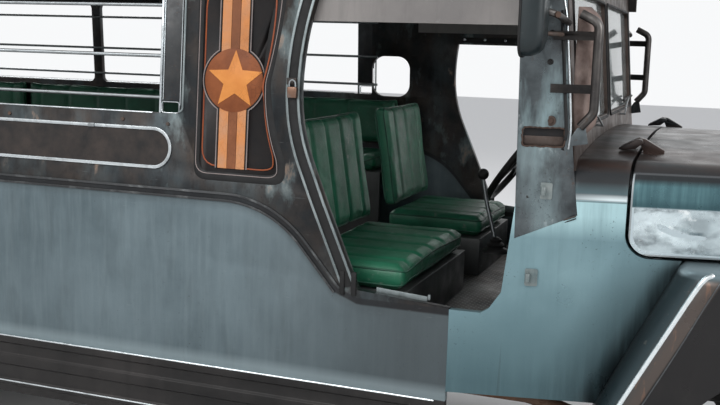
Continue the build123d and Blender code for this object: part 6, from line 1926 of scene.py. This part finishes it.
def filledPad(size, corner):
    # a pad about the origin, blown up by the cloth and held within its swell and its space
    swell = padding["swell"]
    half = [side / 2 for side in size]
    start = block([-h + 0.6 * swell for h in half], [h - 0.6 * swell for h in half], corner, 4)
    pad = spareOf(start, "pad")
    bpy.data.objects.remove(start)
    applyModifier(pad, "REMESH", mode="VOXEL", voxel_size=padding["grain"])
    before = [vertex.co.copy() for vertex in pad.data.vertices]
    pickOnly(pad)
    cloth = pad.modifiers.new("cloth", "CLOTH")
    cloth.settings.use_pressure = True
    cloth.settings.uniform_pressure_force = padding["pressure"]
    cloth.settings.effector_weights.gravity = 0.0
    for step in range(1, padding["frames"] + 1):
        bpy.context.scene.frame_set(step)
    bpy.ops.object.modifier_apply(modifier=cloth.name)
    bpy.context.scene.frame_set(1)
    for vertex, place in zip(pad.data.vertices, before):
        move = vertex.co - place
        if move.length > swell:
            vertex.co = place + move.normalized() * swell
        vertex.co = Vector([min(h, max(-h, c)) for c, h in zip(vertex.co, half)])
    return pad


def channelled(pad, spaced, thin, lines):
    # sewn channels: the cover is drawn down along each line
    deep, wide = padding["channel"]
    moves = []
    for vertex in pad.data.vertices:
        near = max(exp(-((vertex.co[spaced] - line) / wide) ** 2) for line in lines)
        moves.append(vertex.normal * (-deep * near * abs(vertex.normal[thin])))
    for vertex, move in zip(pad.data.vertices, moves):
        vertex.co += move


def pipingOf(pad, size, thin):
    # welt along both rims, laid on the swollen surface
    tree = BVHTree.FromPolygons([v.co for v in pad.data.vertices], [p.vertices[:] for p in pad.data.polygons])
    wide, tall = [axis for axis in range(3) if axis != thin]
    rims = []
    for face in (-1, 1):
        ring = []
        across, up = size[wide] / 2, size[tall] / 2
        outline = rounded(fourCorners(-across, -up, across, up), 0.035, closed=True, steps=4)
        dense = []
        for (ax, ay, _), (bx, by, _) in zip(outline, outline[1:] + outline[:1]):
            steps = max(1, int(hypot(bx - ax, by - ay) / 0.03))
            dense += [(ax + (bx - ax) * k / steps, ay + (by - ay) * k / steps) for k in range(steps)]
        for a, b in dense:
            start, target = [0.0] * 3, [0.0] * 3
            start[wide], start[tall], start[thin] = a, b, face * size[thin] * 0.5
            length = hypot(a, b)
            target[wide], target[tall] = a * (1 - 0.05 / length), b * (1 - 0.05 / length)
            start, target = Vector(start), Vector(target)
            start += (start - target).normalized() * 0.03
            place = tree.ray_cast(start, (target - start).normalized())[0]
            if place is None:
                place = tree.find_nearest(start)[0]
            ring.append(tuple(place))
        rims.append(ring)
    return tubes(rims, padding["piping"], closed=True, sides=2)


def laidPad(pad, name, place, node):
    piece = finishPiece(spareOf(pad, name, place), name, "vinyl", smooth=60.0)
    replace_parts(piece, node)


def laidPiping(piping, places, name):
    copies = [spareOf(piping, name, place) for place in places]
    bpy.data.objects.remove(piping)
    finishPiece(copies, name, "vinylWelt", smooth=60.0)


def benches():
    for kind, node, thin in (("bench", "bench_cushions", 2), ("back", "backrests", 1)):
        size = padding[kind]["size"]
        pad = filledPad(size, 0.016 if kind == "back" else 0.024)
        lines = [(-2.5 + k) * size[0] / 6 for k in range(6)]
        channelled(pad, 0, thin, lines)
        piping = pipingOf(pad, size, thin)
        places = []
        for side in (-1, 1):
            for row in range(padding["bench"]["rows"]):
                x = padding["bench"]["rear"] + (row + 0.5) * (size[0] + 0.0025)
                place = Matrix.Translation((x, side * padding[kind]["y"], padding[kind]["z"]))
                places.append(place)
                label = "right" if side < 0 else "left"
                laidPad(pad, kind + "_pad_" + label + "_" + str(row), place, node)
        laidPiping(piping, places, kind + "_piping")
        bpy.data.objects.remove(pad)


def frontSeats():
    for label, (middle, width) in padding["seats"].items():
        seat, rest = padding["seat"], padding["rest"]
        count = 5 if width > 0.6 else 3
        lines = [(k - (count - 1) / 2) * width / (count + 0.6) for k in range(count)]
        for kind, form, corner, thin in (("seat", seat, 0.026, 2), ("back", rest, 0.020, 0)):
            size = (form["size"][0], width, form["size"][1])
            pad = filledPad(size, corner)
            channelled(pad, 1, thin, lines)
            place = Matrix.Translation((form["x"], middle, form["z"]))
            if form is rest:
                place = place @ Matrix.Rotation(radians(rest["lean"]), 4, "Y")
            laidPiping(pipingOf(pad, size, thin), [place], "front_" + kind + "_piping_" + label)
            laidPad(pad, "front_" + kind + "_pad_" + label, place, "front_seat_cushions")
            bpy.data.objects.remove(pad)


benches()
frontSeats()
print("stage: seats made")
